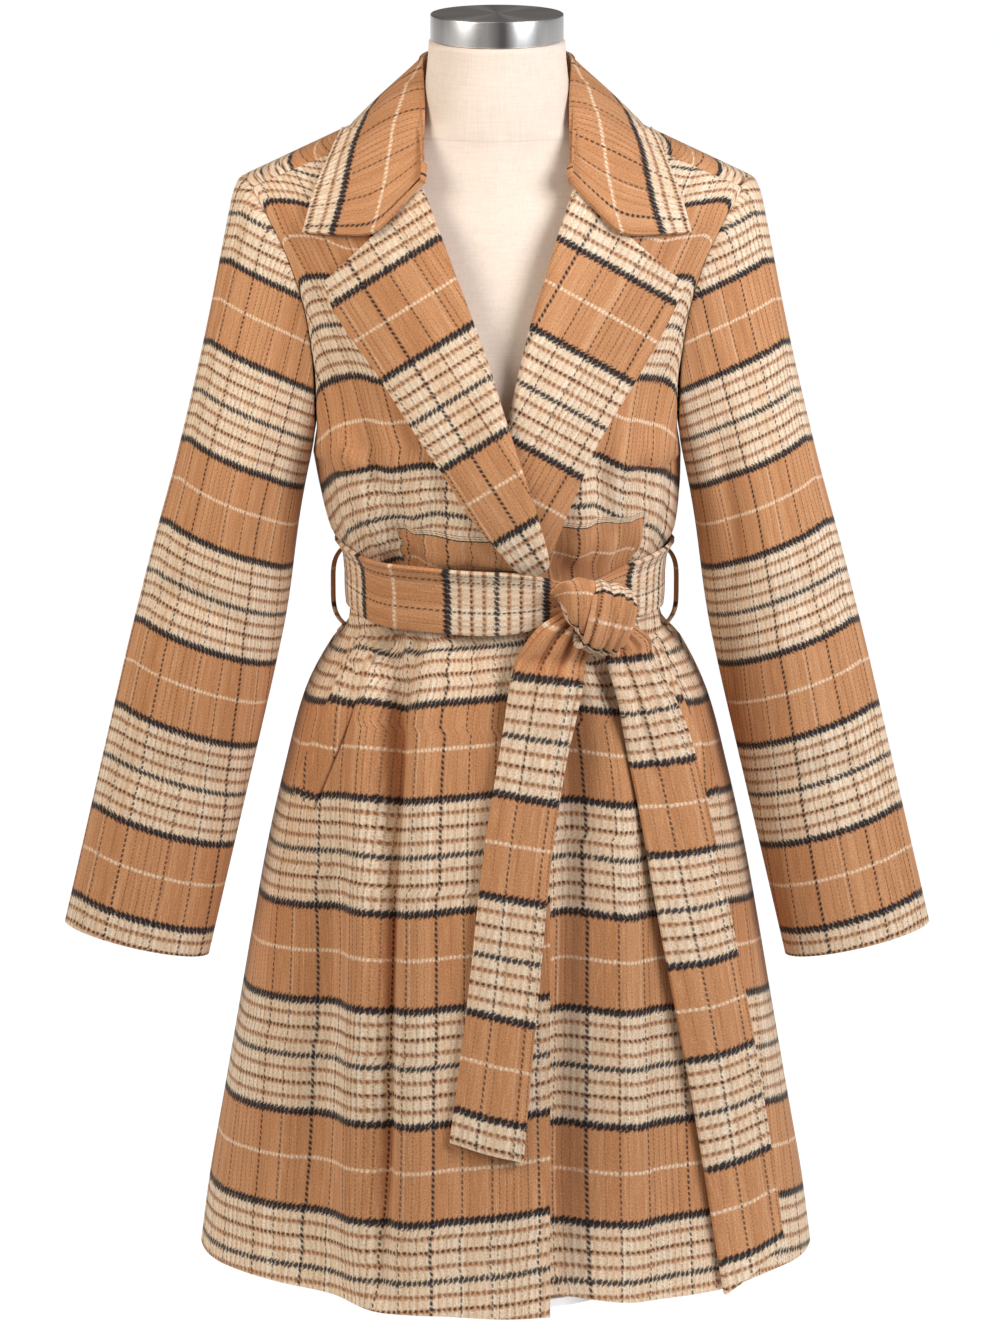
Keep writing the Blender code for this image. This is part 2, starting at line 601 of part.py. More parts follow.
def collar(look):
    """Stand and fall of the collar round the neck."""
    lengths = [i / 13.0 for i in range(14)]
    ends = [-t for t in reversed(lengths)] + lengths[1:]
    cols = (0.0, 0.15, 0.26, 0.34, 0.44, 0.545, 0.65, 0.77, 0.89, 1.0)

    def place(t, v, depth):
        side = 1.0 if t <= 0.0 else -1.0
        flat = 0.994 * abs(t)
        d = 0.01
        p = collar_point(flat, v)
        across = collar_point(flat, min(v + d, 1.0)) - collar_point(flat, max(v - d, 0.0))
        along = collar_point(min(flat + d, 1.0), v) - collar_point(max(flat - d, 0.0), v)
        if flat < d:
            along = np.array((-1.0, 0.0, 0.0))
        n = np.cross(across, along)
        n = n / max(np.linalg.norm(n), 1e-12)
        p = p - n * depth
        if v >= 0.34:
            p = clear_of_body(p, LAPEL_WALL - depth + LAY)
        return p * np.array((side, 1.0, 1.0))

    shell("collar", look, *grid_of(ends, cols, place, LAPEL_WALL))


def belt_lift(x, face):
    """Inner face of the belt over the coat, higher where the fronts lap."""
    if face > 0:
        return LAY
    low, high, growth = BELT_LAP
    return LAY + BELT_OVER_LAP * smooth((x - low) / growth) * smooth((high - x) / growth)


def belt_point(bearing, rise, lift):
    """Point of the belt band; bearing 90 front, rise -1..1 up its width."""
    face, phi = (-1, bearing) if bearing <= 180.0 else (1, RING - bearing)
    spot = body(face, phi, BELT_Z)
    n = normal(face, phi, BELT_Z)
    n[2] = 0.0
    n = n / np.linalg.norm(n)
    share, width = BELT_PINCH
    pinch = share * math.exp(-((spot[0] - KNOT_X) / width) ** 2) if face < 0 else 0.0
    half = BELT_HALF * (1.0 - pinch)
    flare = max(column(SECTIONS, BELT_Z + rise * half, 1) - column(SECTIONS, BELT_Z, 1), 0.0) * BELT_FLARE
    return spot + n * (belt_lift(spot[0], face) + flare + lift) + np.array((0.0, 0.0, rise * half))


def belt_band(look):
    rows = (-1.0, -0.5, 0.0, 0.5, 1.0)
    cols = [RING * i / 48.0 for i in range(48)]

    def place(rise, bearing, depth):
        return belt_point(bearing, rise, BELT_WALL - depth)

    shell("belt_band", look, *grid_of(rows, cols, place, BELT_WALL), closed=True)


def knot_centre():
    """Middle of the knot, in front of the belt band."""
    phi = on_face(-1, KNOT_X, BELT_Z)[0]
    face_of_belt = belt_point(phi, 0.0, BELT_WALL)
    n = normal(-1, phi, BELT_Z)
    n[2] = 0.0
    return face_of_belt, n / np.linalg.norm(n)


def knot_point(spin, tilt, lift):
    """Face of the knot: spin along its length from left to right end, tilt around it."""
    base, out = knot_centre()
    right = np.cross(np.array((0.0, 0.0, 1.0)), -out)
    right = right if right[0] > 0 else -right
    up = np.array((0.0, 0.0, 1.0))
    lean = math.radians(KNOT_LEAN)
    along = right * math.cos(lean) + up * math.sin(lean)
    over = up * math.cos(lean) - right * math.sin(lean)
    a, b = math.radians(spin), math.radians(tilt)
    lengthwise, around = KNOT_SQUARE
    size = signed_power(math.sin(a), lengthwise)
    reach = -signed_power(math.cos(a), lengthwise) * (KNOT_HALF[0] + lift)
    high = signed_power(math.cos(b), around) * size * (KNOT_HALF[2] + lift)
    deep = signed_power(math.sin(b), around) * size * (KNOT_HALF[1] + lift)
    middle = base + out * (KNOT_HALF[1] + KNOT_TURN_WALL + KNOT_STAND)
    return middle + along * reach + over * high + out * deep


def knot(look):
    """The knot's core, and the turn of the belt that wraps it."""
    spins = (8, 22, 38, 55, 72, 90, 108, 125, 142, 158, 172)
    tilts = [RING * i / 18.0 for i in range(18)]
    loft("belt_knot_core", look, [[knot_point(s, t, 0.0) for t in tilts] for s in spins])
    rows = (88.0, 98.0, 110.0, 122.0, 134.0, 143.0)

    def place(spin, tilt, depth):
        return knot_point(spin, tilt, SEWN + KNOT_TURN_WALL - depth)

    shell("belt_knot_turn", look, *grid_of(rows, tilts, place, KNOT_TURN_WALL), closed=True)


def tail(name, look, table, slant):
    """Hanging end of the belt, following the skirt's face."""
    lengths = np.concatenate(([0.0], np.cumsum(np.hypot(np.diff(table[:, 0]), np.diff(table[:, 1])))))
    keyed = np.column_stack((lengths / lengths[-1], table))
    rows = [i / 15.0 for i in range(16)]
    cols = (-1.0, -0.6, -0.2, 0.2, 0.6, 1.0)

    def place(share, u, depth):
        mid = np.array((column(keyed, share, 1), column(keyed, share, 2)))
        step = 0.02
        ahead = np.array([column(keyed, min(share + step, 1.0), i) for i in (1, 2)])
        behind = np.array([column(keyed, max(share - step, 0.0), i) for i in (1, 2)])
        run = (ahead - behind) / np.linalg.norm(ahead - behind)
        half = column(keyed, share, 3)
        spot = mid + np.array((-run[1], run[0])) * u * half + run * u * slant * share
        return on_front(spot[0], spot[1], column(keyed, share, 4) - depth)

    shell(name, look, *grid_of(rows, cols, place, BELT_WALL))


def welt(name, look, side):
    """Slanted pocket welt lying on a front."""
    start, end = np.array(WELT_TOP), np.array(WELT_END)
    run = (end - start) / np.linalg.norm(end - start)
    across = np.array((-run[1], run[0]))

    def place(share, u, depth):
        spot = start + (end - start) * share + across * u * WELT_HALF
        x = -spot[0] if side == "right" else spot[0]
        return on_front(x + column(SECTIONS, spot[1], 4), spot[1], SEWN + WELT_WALL - depth)

    shell(name, look, *grid_of([i / 8.0 for i in range(9)], (-1.0, -0.3, 0.3, 1.0), place, WELT_WALL))


def belt_loop(name, look, out):
    """Narrow carrier at a side seam, standing off the belt; out -1 right side, 1 left."""
    rises = (-1.0, -0.9, -0.72, -0.45, 0.0, 0.45, 0.72, 0.9, 1.0)

    def place(rise, u, depth):
        z = BELT_Z + rise * LOOP_REACH
        half, mid = column(SECTIONS, z, 1), column(SECTIONS, z, 4)
        bow = LOOP_OUT * (1.0 - abs(rise) ** 4)
        centre_half = column(SECTIONS, BELT_Z, 1)
        side = max(half + LOOP_WALL + SEWN, centre_half + bow)
        return np.array((mid + out * (side - depth), u * LOOP_HALF, z))

    shell(name, look, *grid_of(rises, (-1.0, 0.0, 1.0), place, LOOP_WALL))


def form_ring(z, half, front, back, power, count=30):
    ring = []
    for i in range(count):
        a = 2.0 * math.pi * i / count
        depth = front if math.sin(a) < 0.0 else back
        ring.append(np.array((half * signed_power(math.cos(a), 2.0 / power),
                              depth * signed_power(math.sin(a), 2.0 / power), z)))
    return ring


def inside_coat(p):
    """The point, moved in where it lies too near the coat's inner face."""
    if abs(p[1]) < 0.001 or abs(p[0]) < 0.02:
        return p
    face = -1 if p[1] < 0.0 else 1
    phi, level = on_face(face, p[0], p[2])
    spot, n = body(face, phi, level), normal(face, phi, level)
    stand = np.dot(p - spot, n) + WALL + FORM_ROOM
    return p - n * stand if stand > 0.0 else p


def dress_form(cover, steel):
    """Torso and neck, cap, pole and round foot."""
    rings = [form_ring(*row) for row in FORM]
    drop = (WALL + SEAT_GAP) * math.hypot(1.0, SHOULDER_SLOPE)
    for z, widest, front, back, power in FORM_SEAT:
        half = min(SHOULDER_X - (z + drop - SHOULDER_Z) / SHOULDER_SLOPE, widest)
        rings.append([inside_coat(p) for p in form_ring(z, half, front, back, power)])
    rings += [form_ring(*row) for row in FORM_NECK]
    loft("form_body", cover, rings)
    low, high = CAP_Z
    cap = ((low, CAP_RADIUS - CAP_EDGE), (low + CAP_EDGE, CAP_RADIUS), (high - CAP_EDGE, CAP_RADIUS),
           (high, CAP_RADIUS - CAP_EDGE))
    loft("form_cap", steel, [form_ring(z, r, r, r, 2.0, 40) for z, r in cap])
    ends = (BASE_HEIGHT + 2 * SEAM, FORM[0, 0] - 2 * SEAM)
    loft("stand_pole", steel, [form_ring(z, POLE_RADIUS, POLE_RADIUS, POLE_RADIUS, 2.0, 20) for z in ends])
    foot = ((0.0, BASE_RADIUS), (BASE_HEIGHT - 0.002, BASE_RADIUS), (BASE_HEIGHT, BASE_RADIUS - 0.002))
    loft("stand_base", steel, [form_ring(z, r, r, r, 2.0, 40) for z, r in foot])


CLOTH = (0.52, 0.30, 0.15)
LINEN = (0.80, 0.72, 0.62)
STEEL = (0.55, 0.55, 0.54)

back_panel(material("back_wool", CLOTH))
front_panel("front_right", material("front_right_wool", CLOTH), "right")
front_panel("front_left", material("front_left_wool", CLOTH), "left")
sleeve("sleeve_right", material("sleeve_right_wool", CLOTH), False)
sleeve("sleeve_left", material("sleeve_left_wool", CLOTH), True)
lapel("lapel_right", material("lapel_right_wool", CLOTH), "right", LAPEL_RIGHT)
lapel("lapel_left", material("lapel_left_wool", CLOTH), "left", LAPEL_LEFT)
collar(material("collar_wool", CLOTH))
belt_band(material("belt_wool", CLOTH))
knot(material("belt_knot_wool", CLOTH))
tail("belt_tail_short", material("belt_tail_short_wool", CLOTH), TAIL_SHORT, 0.004)
tail("belt_tail_long", material("belt_tail_long_wool", CLOTH), TAIL_LONG, -0.010)
welt("pocket_welt_right", material("pocket_welt_right_wool", CLOTH), "right")
welt("pocket_welt_left", material("pocket_welt_left_wool", CLOTH), "left")
belt_loop("belt_loop_right", material("belt_loop_right_wool", CLOTH), -1.0)
belt_loop("belt_loop_left", material("belt_loop_left_wool", CLOTH), 1.0)
dress_form(material("form_linen", LINEN), material("brushed_steel", STEEL, 0.35, 1.0))
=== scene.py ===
# Looks of the belted wrap coat on its dress form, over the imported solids.
import math

import bmesh
import bpy
import numpy as np
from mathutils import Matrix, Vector


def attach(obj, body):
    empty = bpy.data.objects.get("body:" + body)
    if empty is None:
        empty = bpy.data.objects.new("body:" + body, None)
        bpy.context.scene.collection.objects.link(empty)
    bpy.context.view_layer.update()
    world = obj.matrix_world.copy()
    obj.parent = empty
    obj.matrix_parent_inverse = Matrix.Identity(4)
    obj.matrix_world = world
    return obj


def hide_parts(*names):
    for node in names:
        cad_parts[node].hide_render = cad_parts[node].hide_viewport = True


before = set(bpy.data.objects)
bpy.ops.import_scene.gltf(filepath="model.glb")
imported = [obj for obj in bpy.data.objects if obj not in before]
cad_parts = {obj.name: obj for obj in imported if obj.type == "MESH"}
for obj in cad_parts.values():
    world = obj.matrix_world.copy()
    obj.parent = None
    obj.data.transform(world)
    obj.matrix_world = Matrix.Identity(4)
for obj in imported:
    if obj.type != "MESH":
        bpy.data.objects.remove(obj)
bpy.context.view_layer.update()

# Sizes in metres, most of them as in the solids
WALL, LAPEL_WALL, BELT_WALL = 0.0026, 0.0036, 0.0042
SEAM, LAY, SEWN = 0.0003, 0.0011, 0.0005
HEM_Z, UNDERARM_Z, BELT_Z, BELT_HALF, GORGE_Z = 0.02, 0.665, 0.556, 0.025, 0.879
SHOULDER_X, SHOULDER_Z, SHOULDER_SLOPE = 0.193, 0.88, 0.456
SEAM_ARCH, NECK_X, NECK_BACK_ARCH = 74.0, 0.082, 56.0
ARM_FRONT, ARM_BACK, ARM_ROUND = 0.058, 0.06, 0.3
SECTION_POWER, FRONT_ARCH_POWER, BACK_ARCH_POWER, EDGE_ARCH_POWER = 2.3, 1.3, 0.65, 0.8
UNDER_RISE, UNDER_SET, LIFT_SKIRT, LIFT_CHEST, ROLL_SET_BACK = 0.012, 0.018, 0.0042, 0.0112, 0.0075
CHEST_POWER, CHEST_BLEND = 2.2, 0.35
LAP_TURN_Z, LAP_TURN_RUN, LAP_IN, LAP_RUN = 0.588, 0.022, 0.036, 0.03
UNDER_TOP_Z, UNDER_RUN, UNDER_X, UNDER_HEM_X, UNDER_FADE = 0.42, 0.4, 0.11, 0.115, 0.07
UNDER_HEM_RUN = 0.05
RING = 360.0
WAIST_Z = 0.569    # middle of the belt's cloth, over its solid's
MIDDLE_X = 0.006   # of the body at the belt
SIDE_PHI = 0.07    # of the panels' edges at the side seams, degrees
FADE = 0.02        # height over which creases die out to the hem

# Level sections: height, half width, depth to the front, depth to the back, middle, superellipse power
SECTIONS = np.array([
    (0.02, 0.2435, 0.192, 0.18, 0.007, 1.6), (0.075, 0.236, 0.186, 0.173, 0.007, 1.62),
    (0.14, 0.2245, 0.178, 0.166, 0.007, 1.68), (0.22, 0.2105, 0.167, 0.157, 0.007, 1.8),
    (0.29, 0.1985, 0.157, 0.15, 0.007, 1.9), (0.345, 0.1885, 0.149, 0.144, 0.007, 2.0),
    (0.41, 0.174, 0.138, 0.136, 0.007, 2.12), (0.47, 0.158, 0.127, 0.124, 0.007, 2.22),
    (0.51, 0.1375, 0.115, 0.11, 0.007, 2.28), (0.531, 0.1208, 0.1045, 0.0995, 0.006, 2.3),
    (0.556, 0.119, 0.1035, 0.0985, 0.006, 2.3), (0.581, 0.12, 0.1045, 0.099, 0.006, 2.3),
    (0.612, 0.134, 0.118, 0.106, 0.004, 2.3), (0.64, 0.14, 0.1245, 0.111, 0.002, 2.3),
    (0.665, 0.1425, 0.127, 0.114, 0.0, 2.3),
])
# Armhole edge: share of the height from underarm to shoulder, half width
ARMHOLE = np.array([
    (0.0, 0.1425), (0.12, 0.1385), (0.28, 0.1395), (0.45, 0.1445),
    (0.65, 0.157), (0.82, 0.173), (0.93, 0.185), (1.0, 0.193),
])
# Folds of the skirt: bearing (0 right side, 90 front, 270 back), top, depth at the hem, half width in degrees
FOLDS = np.array([
    (63.0, 0.525, 0.017, 8.0), (49.0, 0.525, -0.007, 8.0), (22.0, 0.47, 0.005, 12.0),
    (122.0, 0.5, -0.006, 10.0), (137.0, 0.48, 0.007, 11.0), (160.0, 0.46, 0.004, 10.0),
    (206.0, 0.5, 0.006, 12.0), (228.0, 0.5, -0.006, 11.0), (248.0, 0.51, 0.007, 11.0),
    (270.0, 0.51, -0.006, 12.0), (292.0, 0.51, 0.0065, 11.0), (314.0, 0.49, -0.006, 11.0),
    (336.0, 0.49, 0.006, 12.0),
])
FOLD_RUN = 0.3   # height over which a fold comes to its depth
# Roll lines: height, x of the right front's roll, x of the left front's roll
ROLLS = np.array([
    (0.58, 0.04, -0.045), (0.601, 0.039, -0.026), (0.64, 0.03, -0.013),
    (0.679, 0.0176, -0.001), (0.722, 0.004, 0.0105), (0.752, -0.0054, 0.0175),
    (0.787, -0.0185, 0.0265), (0.811, -0.028, 0.0345), (0.845, -0.0415, 0.0455),
    (0.879, -0.0555, 0.0575),
])
# Lapels: roll height, edge x, edge z
LAPEL_RIGHT = np.array([
    (0.879, -0.129, 0.8075), (0.866, -0.1255, 0.795), (0.811, -0.087, 0.74),
    (0.752, -0.0555, 0.693), (0.679, -0.013, 0.634), (0.604, 0.025, 0.59),
])
LAPEL_LEFT = np.array([
    (0.879, 0.14, 0.8055), (0.866, 0.1345, 0.791), (0.811, 0.108, 0.744),
    (0.752, 0.074, 0.69), (0.69, 0.054, 0.644), (0.615, 0.036, 0.596),
])
# Lift of a lapel: distance from the roll line, height of the outer face
LAPEL_RISE = np.array([
    (0.0, -0.0005), (0.002, 0.003), (0.0065, 0.0049), (0.02, 0.0052), (0.2, 0.006),
])
# Collar, right half: share from the middle back, then x, y, z of neck line, fold line, mid fall, edge
COLLAR = np.array([
    (0.0, 0.0, 0.079, 0.936, 0.0, 0.08, 0.974, 0.0, 0.096, 0.944, 0.0, 0.106, 0.888),
    (0.22, -0.04, 0.065, 0.938, -0.038, 0.069, 0.974, -0.053, 0.079, 0.947, -0.074, 0.083, 0.897),
    (0.45, -0.064, 0.024, 0.943, -0.055, 0.024, 0.969, -0.074, 0.0275, 0.952, -0.102, 0.026, 0.924),
    (0.7, -0.061, -0.026, 0.93, -0.0525, -0.031, 0.936, -0.087, -0.031, 0.926, -0.129, -0.031, 0.894),
    (1.0, -0.0645, -0.0735, 0.886, -0.057, -0.0755, 0.8845, -0.0945, -0.09, 0.8455,
     -0.149, -0.054, 0.843),
])
# Sleeve: share of the length, half width, half depth, forward set
SLEEVE_TOP, SLEEVE_END = (-0.146, 0.002, 0.862), (-0.283, -0.03, 0.28)
SLEEVE = np.array([
    (0.0, 0.057, 0.06, 0.0), (0.25, 0.053, 0.059, 0.001), (0.36, 0.0535, 0.057, 0.004),
    (0.5, 0.0565, 0.054, 0.006), (0.65, 0.058, 0.05, 0.006), (0.85, 0.058, 0.046, 0.002),
    (1.0, 0.058, 0.044, 0.0),
])
SLEEVE_EASE, SLEEVE_CREST = 0.35, 0.04
# Belt tails: x, z of the middle, half width, outer face over the coat's face
TAIL_SHORT = np.array([
    (0.056, 0.557, 0.007, 0.02), (0.0515, 0.55, 0.0125, 0.025), (0.044, 0.539, 0.0175, 0.027),
    (0.037, 0.518, 0.0222, 0.0255), (0.0335, 0.498, 0.0238, 0.0215), (0.0305, 0.478, 0.0243, 0.0175),
    (0.027, 0.455, 0.0245, 0.014), (0.016, 0.38, 0.025, 0.012), (0.0046, 0.268, 0.0255, 0.012),
    (-0.008, 0.15, 0.0275, 0.012),
])
TAIL_LONG = np.array([
    (0.083, 0.542, 0.009, 0.018), (0.0915, 0.525, 0.013, 0.021), (0.1025, 0.498, 0.0155, 0.0185),
    (0.111, 0.476, 0.019, 0.015), (0.121, 0.445, 0.022, 0.0115), (0.144, 0.335, 0.024, 0.0105),
    (0.165, 0.213, 0.0245, 0.0105), (0.192, 0.031, 0.0245, 0.0105),
])
KNOT_X, KNOT_HALF = 0.073, (0.031, 0.015, 0.027)
KNOT_TURN_WALL, KNOT_STAND, KNOT_LEAN = 0.005, 0.0016, -18.0
WELT_TOP, WELT_END, WELT_HALF, WELT_WALL = (0.1085, 0.522), (0.156, 0.4), 0.0085, 0.0026
WELT_LIP, WELT_CROWN = 0.0036, 0.0006
LOOP_HALF, LOOP_WALL, LOOP_OUT, LOOP_REACH, LOOP_ROUND = 0.0045, 0.0022, 0.016, 0.036, 0.0019
# Dress form: height, half width, depth front, depth back, section power
FORM = np.array([
    (0.33, 0.085, 0.062, 0.066, 2.2), (0.333, 0.112, 0.082, 0.088, 2.2), (0.345, 0.132, 0.098, 0.105, 2.2),
    (0.37, 0.142, 0.106, 0.113, 2.2), (0.41, 0.144, 0.109, 0.115, 2.2), (0.46, 0.132, 0.102, 0.104, 2.2),
    (0.51, 0.113, 0.092, 0.092, 2.2), (0.556, 0.104, 0.087, 0.086, 2.2), (0.6, 0.11, 0.095, 0.091, 2.2),
    (0.64, 0.121, 0.106, 0.097, 2.2), (0.68, 0.127, 0.113, 0.101, 2.2), (0.72, 0.13, 0.111, 0.102, 2.1),
    (0.76, 0.137, 0.1, 0.099, 2.0), (0.8, 0.147, 0.086, 0.091, 1.9), (0.83, 0.155, 0.075, 0.082, 1.8),
    (0.85, 0.158, 0.069, 0.075, 1.7), (0.866, 0.16, 0.064, 0.069, 1.5), (0.882, 0.16, 0.06, 0.063, 1.4),
    (0.898, 0.142, 0.057, 0.059, 1.4), (0.912, 0.096, 0.0555, 0.057, 1.65), (0.924, 0.063, 0.055, 0.056, 2.2),
    (0.938, 0.0565, 0.0545, 0.055, 2.3), (0.955, 0.0545, 0.0535, 0.0535, 2.15),
    (0.97, 0.053, 0.0525, 0.0525, 2.05), (0.9829, 0.0522, 0.0522, 0.0522, 2.0),
])
FORM_FOOT_Z, FORM_ROUND_Z, FORM_TOP_Z = FORM[0, 0], 0.35, FORM[-1, 0]
# Form pressed in under the coat: lowest, highest, out from the middle, growth, room under the cloth
PRESS_LOW, PRESS_HIGH, PRESS_OUT, PRESS_RUN, PRESS_ROOM = 0.8, 0.945, 0.045, 0.03, 0.0012
NECK_SEAM_Z = 0.9135
CAP_RADIUS, CAP_Z, POLE_RADIUS, BASE_RADIUS, BASE_HEIGHT = 0.051, (0.9835, 1.004), 0.0125, 0.12, 0.01


# Surfaces of the coat
def soft(t):
    t = np.clip(t, 0.0, 1.0)
    return t * t * (3.0 - 2.0 * t)


def column(low, high, count):
    return np.linspace(low, high, count)[:, None]


def row(low, high, count):
    return np.linspace(low, high, count)[None, :]


def together(*values):
    """Values spread over one grid and stacked into its points or cloth coordinates."""
    return np.stack(np.broadcast_arrays(*values), -1)


def bell(value, middle, width):
    return np.exp(-((value - middle) / width) ** 2)


def signed_power(value, power):
    return np.sign(value) * np.abs(value) ** power


def curve(table, key, index):
    """Smooth value of one column of a table at keys of its first column."""
    keys, vals = table[:, 0], table[:, index]
    if keys[0] > keys[-1]:
        keys, vals = keys[::-1], vals[::-1]
    key = np.clip(key, keys[0], keys[-1])
    steps = np.diff(keys)
    rates = np.diff(vals) / steps
    a, b = rates[:-1], rates[1:]
    same = a * b > 0.0
    inner = np.where(same, 2.0 * a * b / np.where(same, a + b, 1.0), 0.0)
    m = np.concatenate(([rates[0]], inner, [rates[-1]]))
    k = np.clip(np.searchsorted(keys, key, side="right") - 1, 0, len(keys) - 2)
    t, h = (key - keys[k]) / steps[k], steps[k]
    return (vals[k] * (1 + 2 * t) * (1 - t) ** 2 + m[k] * h * t * (1 - t) ** 2
            + vals[k + 1] * t * t * (3 - 2 * t) + m[k + 1] * h * t * t * (t - 1))


def shoulder_top(x):
    return SHOULDER_Z + SHOULDER_SLOPE * (SHOULDER_X - np.abs(x))


def chest_z(x, w):
    """Height at x and a share of the way from underarm to shoulder."""
    return UNDERARM_Z + (shoulder_top(x) - UNDERARM_Z) * w


def turn_off(bearing, place):
    """Degrees from a place round the coat, the shorter way."""
    return (bearing - place + RING / 2) % RING - RING / 2


def fold(bearing, z):
    total = np.zeros(np.broadcast(bearing, z).shape)
    for place, top, depth, half in FOLDS:
        total = total + depth * soft((top - z) / FOLD_RUN) * bell(turn_off(bearing, place), 0.0, half)
    return total


def coat_face(face, phi, level):
    """Outer face of the coat; face -1 front, 1 back; phi 0 right side, 180 left; level as in the solids."""
    face, phi, level = np.broadcast_arrays(face, np.asarray(phi, float), np.asarray(level, float))
    a = np.radians(phi)
    low = np.minimum(level, UNDERARM_Z)
    half, front, back, mid, power = (curve(SECTIONS, low, i) for i in (1, 2, 3, 4, 5))
    depth = np.where(face < 0, front, back)
    stand = 1.0 + fold(np.where(face < 0, phi, RING - phi), low) / (0.5 * (half + depth))
    lower = np.stack((mid - half * signed_power(np.cos(a), 2.0 / power) * stand,
                      face * depth * signed_power(np.sin(a), 2.0 / power) * stand, low), -1)
    arch = np.maximum((level - UNDERARM_Z) * 90.0, 0.0)
    face = np.where(arch > 90.0, -face, face)
    arch = np.where(arch > 90.0, 180.0 - arch, arch)
    w, c = np.sin(np.radians(arch)), np.maximum(np.cos(np.radians(arch)), 0.0)
    x = -curve(ARMHOLE, w, 1) * signed_power(np.cos(a), 2.0 / SECTION_POWER)
    z = chest_z(x, w)
    round_in = np.sqrt(np.maximum(0.0, 1.0 - np.maximum(0.0, 1.0 - w / ARM_ROUND) ** 2))
    edge = np.where(face < 0, ARM_FRONT, ARM_BACK) * round_in * c ** EDGE_ARCH_POWER
    full = np.where(face < 0, SECTIONS[-1, 2], SECTIONS[-1, 3])
    middle = full * np.where(face < 0, c ** FRONT_ARCH_POWER, c ** BACK_ARCH_POWER)
    power = 2.0 / SECTION_POWER + (CHEST_POWER - 2.0 / SECTION_POWER) * soft(w / CHEST_BLEND)
    out = signed_power(np.sin(a), power)
    upper = np.stack((x, face * (edge + (middle - edge) * out), z), -1)
    return np.where((level <= UNDERARM_Z)[..., None], lower, upper)


def unit(v):
    return v / np.maximum(np.linalg.norm(v, axis=-1, keepdims=True), 1e-12)


def coat_normal(face, phi, level):
    face, phi, level = np.broadcast_arrays(face, np.asarray(phi, float), np.asarray(level, float))
    d_phi, d_level = 0.8, 0.004
    upper = soft((level - UNDERARM_Z) * 4.0)[..., None]
    low, high = np.maximum(level - d_level, HEM_Z), level + d_level
    high = np.where((level <= UNDERARM_Z) & (high > UNDERARM_Z), UNDERARM_Z, high)
    rise = coat_face(face, phi, high) - coat_face(face, phi, low)
    both = coat_face(face, phi + d_phi, level) - coat_face(face, phi - d_phi, level)
    step = np.where(phi < 90.0, 2.0, -2.0)
    one = (coat_face(face, phi + step, level) - coat_face(face, phi, level)) * np.sign(step)[..., None]
    run = both * (1.0 - upper) + one * upper
    return unit(np.cross(run, rise) * -face[..., None])


def on_face(x, z):
    """phi and level of the coat's face at x, z."""
    x, z = np.broadcast_arrays(np.asarray(x, float), np.asarray(z, float))
    low = np.minimum(z, UNDERARM_Z)
    w = np.clip((z - UNDERARM_Z) / (shoulder_top(x) - UNDERARM_Z), 0.0, 0.9999)
    below = z <= UNDERARM_Z
    half = np.where(below, curve(SECTIONS, low, 1), curve(ARMHOLE, w, 1))
    mid = np.where(below, curve(SECTIONS, low, 4), 0.0)
    power = np.where(below, curve(SECTIONS, low, 5), SECTION_POWER)
    level = np.where(below, z, UNDERARM_Z + np.degrees(np.arcsin(w)) / 90.0)
    across = np.clip((mid - x) / half, -0.9995, 0.9995)
    return np.degrees(np.arccos(signed_power(across, power / 2.0))), level


def on_front(x, z, lift):
    phi, level = on_face(x, z)
    return coat_face(-1, phi, level) + coat_normal(-1, phi, level) * np.asarray(lift)[..., None]


def roll_x(z, side):
    return curve(ROLLS, z, 1 if side == "right" else 2)


def wrap_lift(x, z):
    amount = LIFT_SKIRT + (LIFT_CHEST - LIFT_SKIRT) * soft((z - LAP_TURN_Z) / LAP_TURN_RUN)
    return amount * soft((x - roll_x(z, "left") + LAP_IN) / LAP_RUN)


def under_set(x, z):
    return -UNDER_SET * soft((UNDER_TOP_Z - z) / UNDER_RUN) * soft((UNDER_X - x) / UNDER_FADE)


def creases(table, a, b):
    """Soft troughs (-) and ridges (+): ends a1, b1, a2, b2, half width, depth."""
    total = np.zeros(np.shape(a))
    for a1, b1, a2, b2, half, depth in table:
        ra, rb = a2 - a1, b2 - b1
        length = math.hypot(ra, rb)
        t = ((a - a1) * ra + (b - b1) * rb) / length ** 2
        d = (-(a - a1) * rb + (b - b1) * ra) / length
        total = total + depth * bell(d, 0.0, half) * soft((t + 0.25) / 0.5) * soft((1.25 - t) / 0.5)
    return total


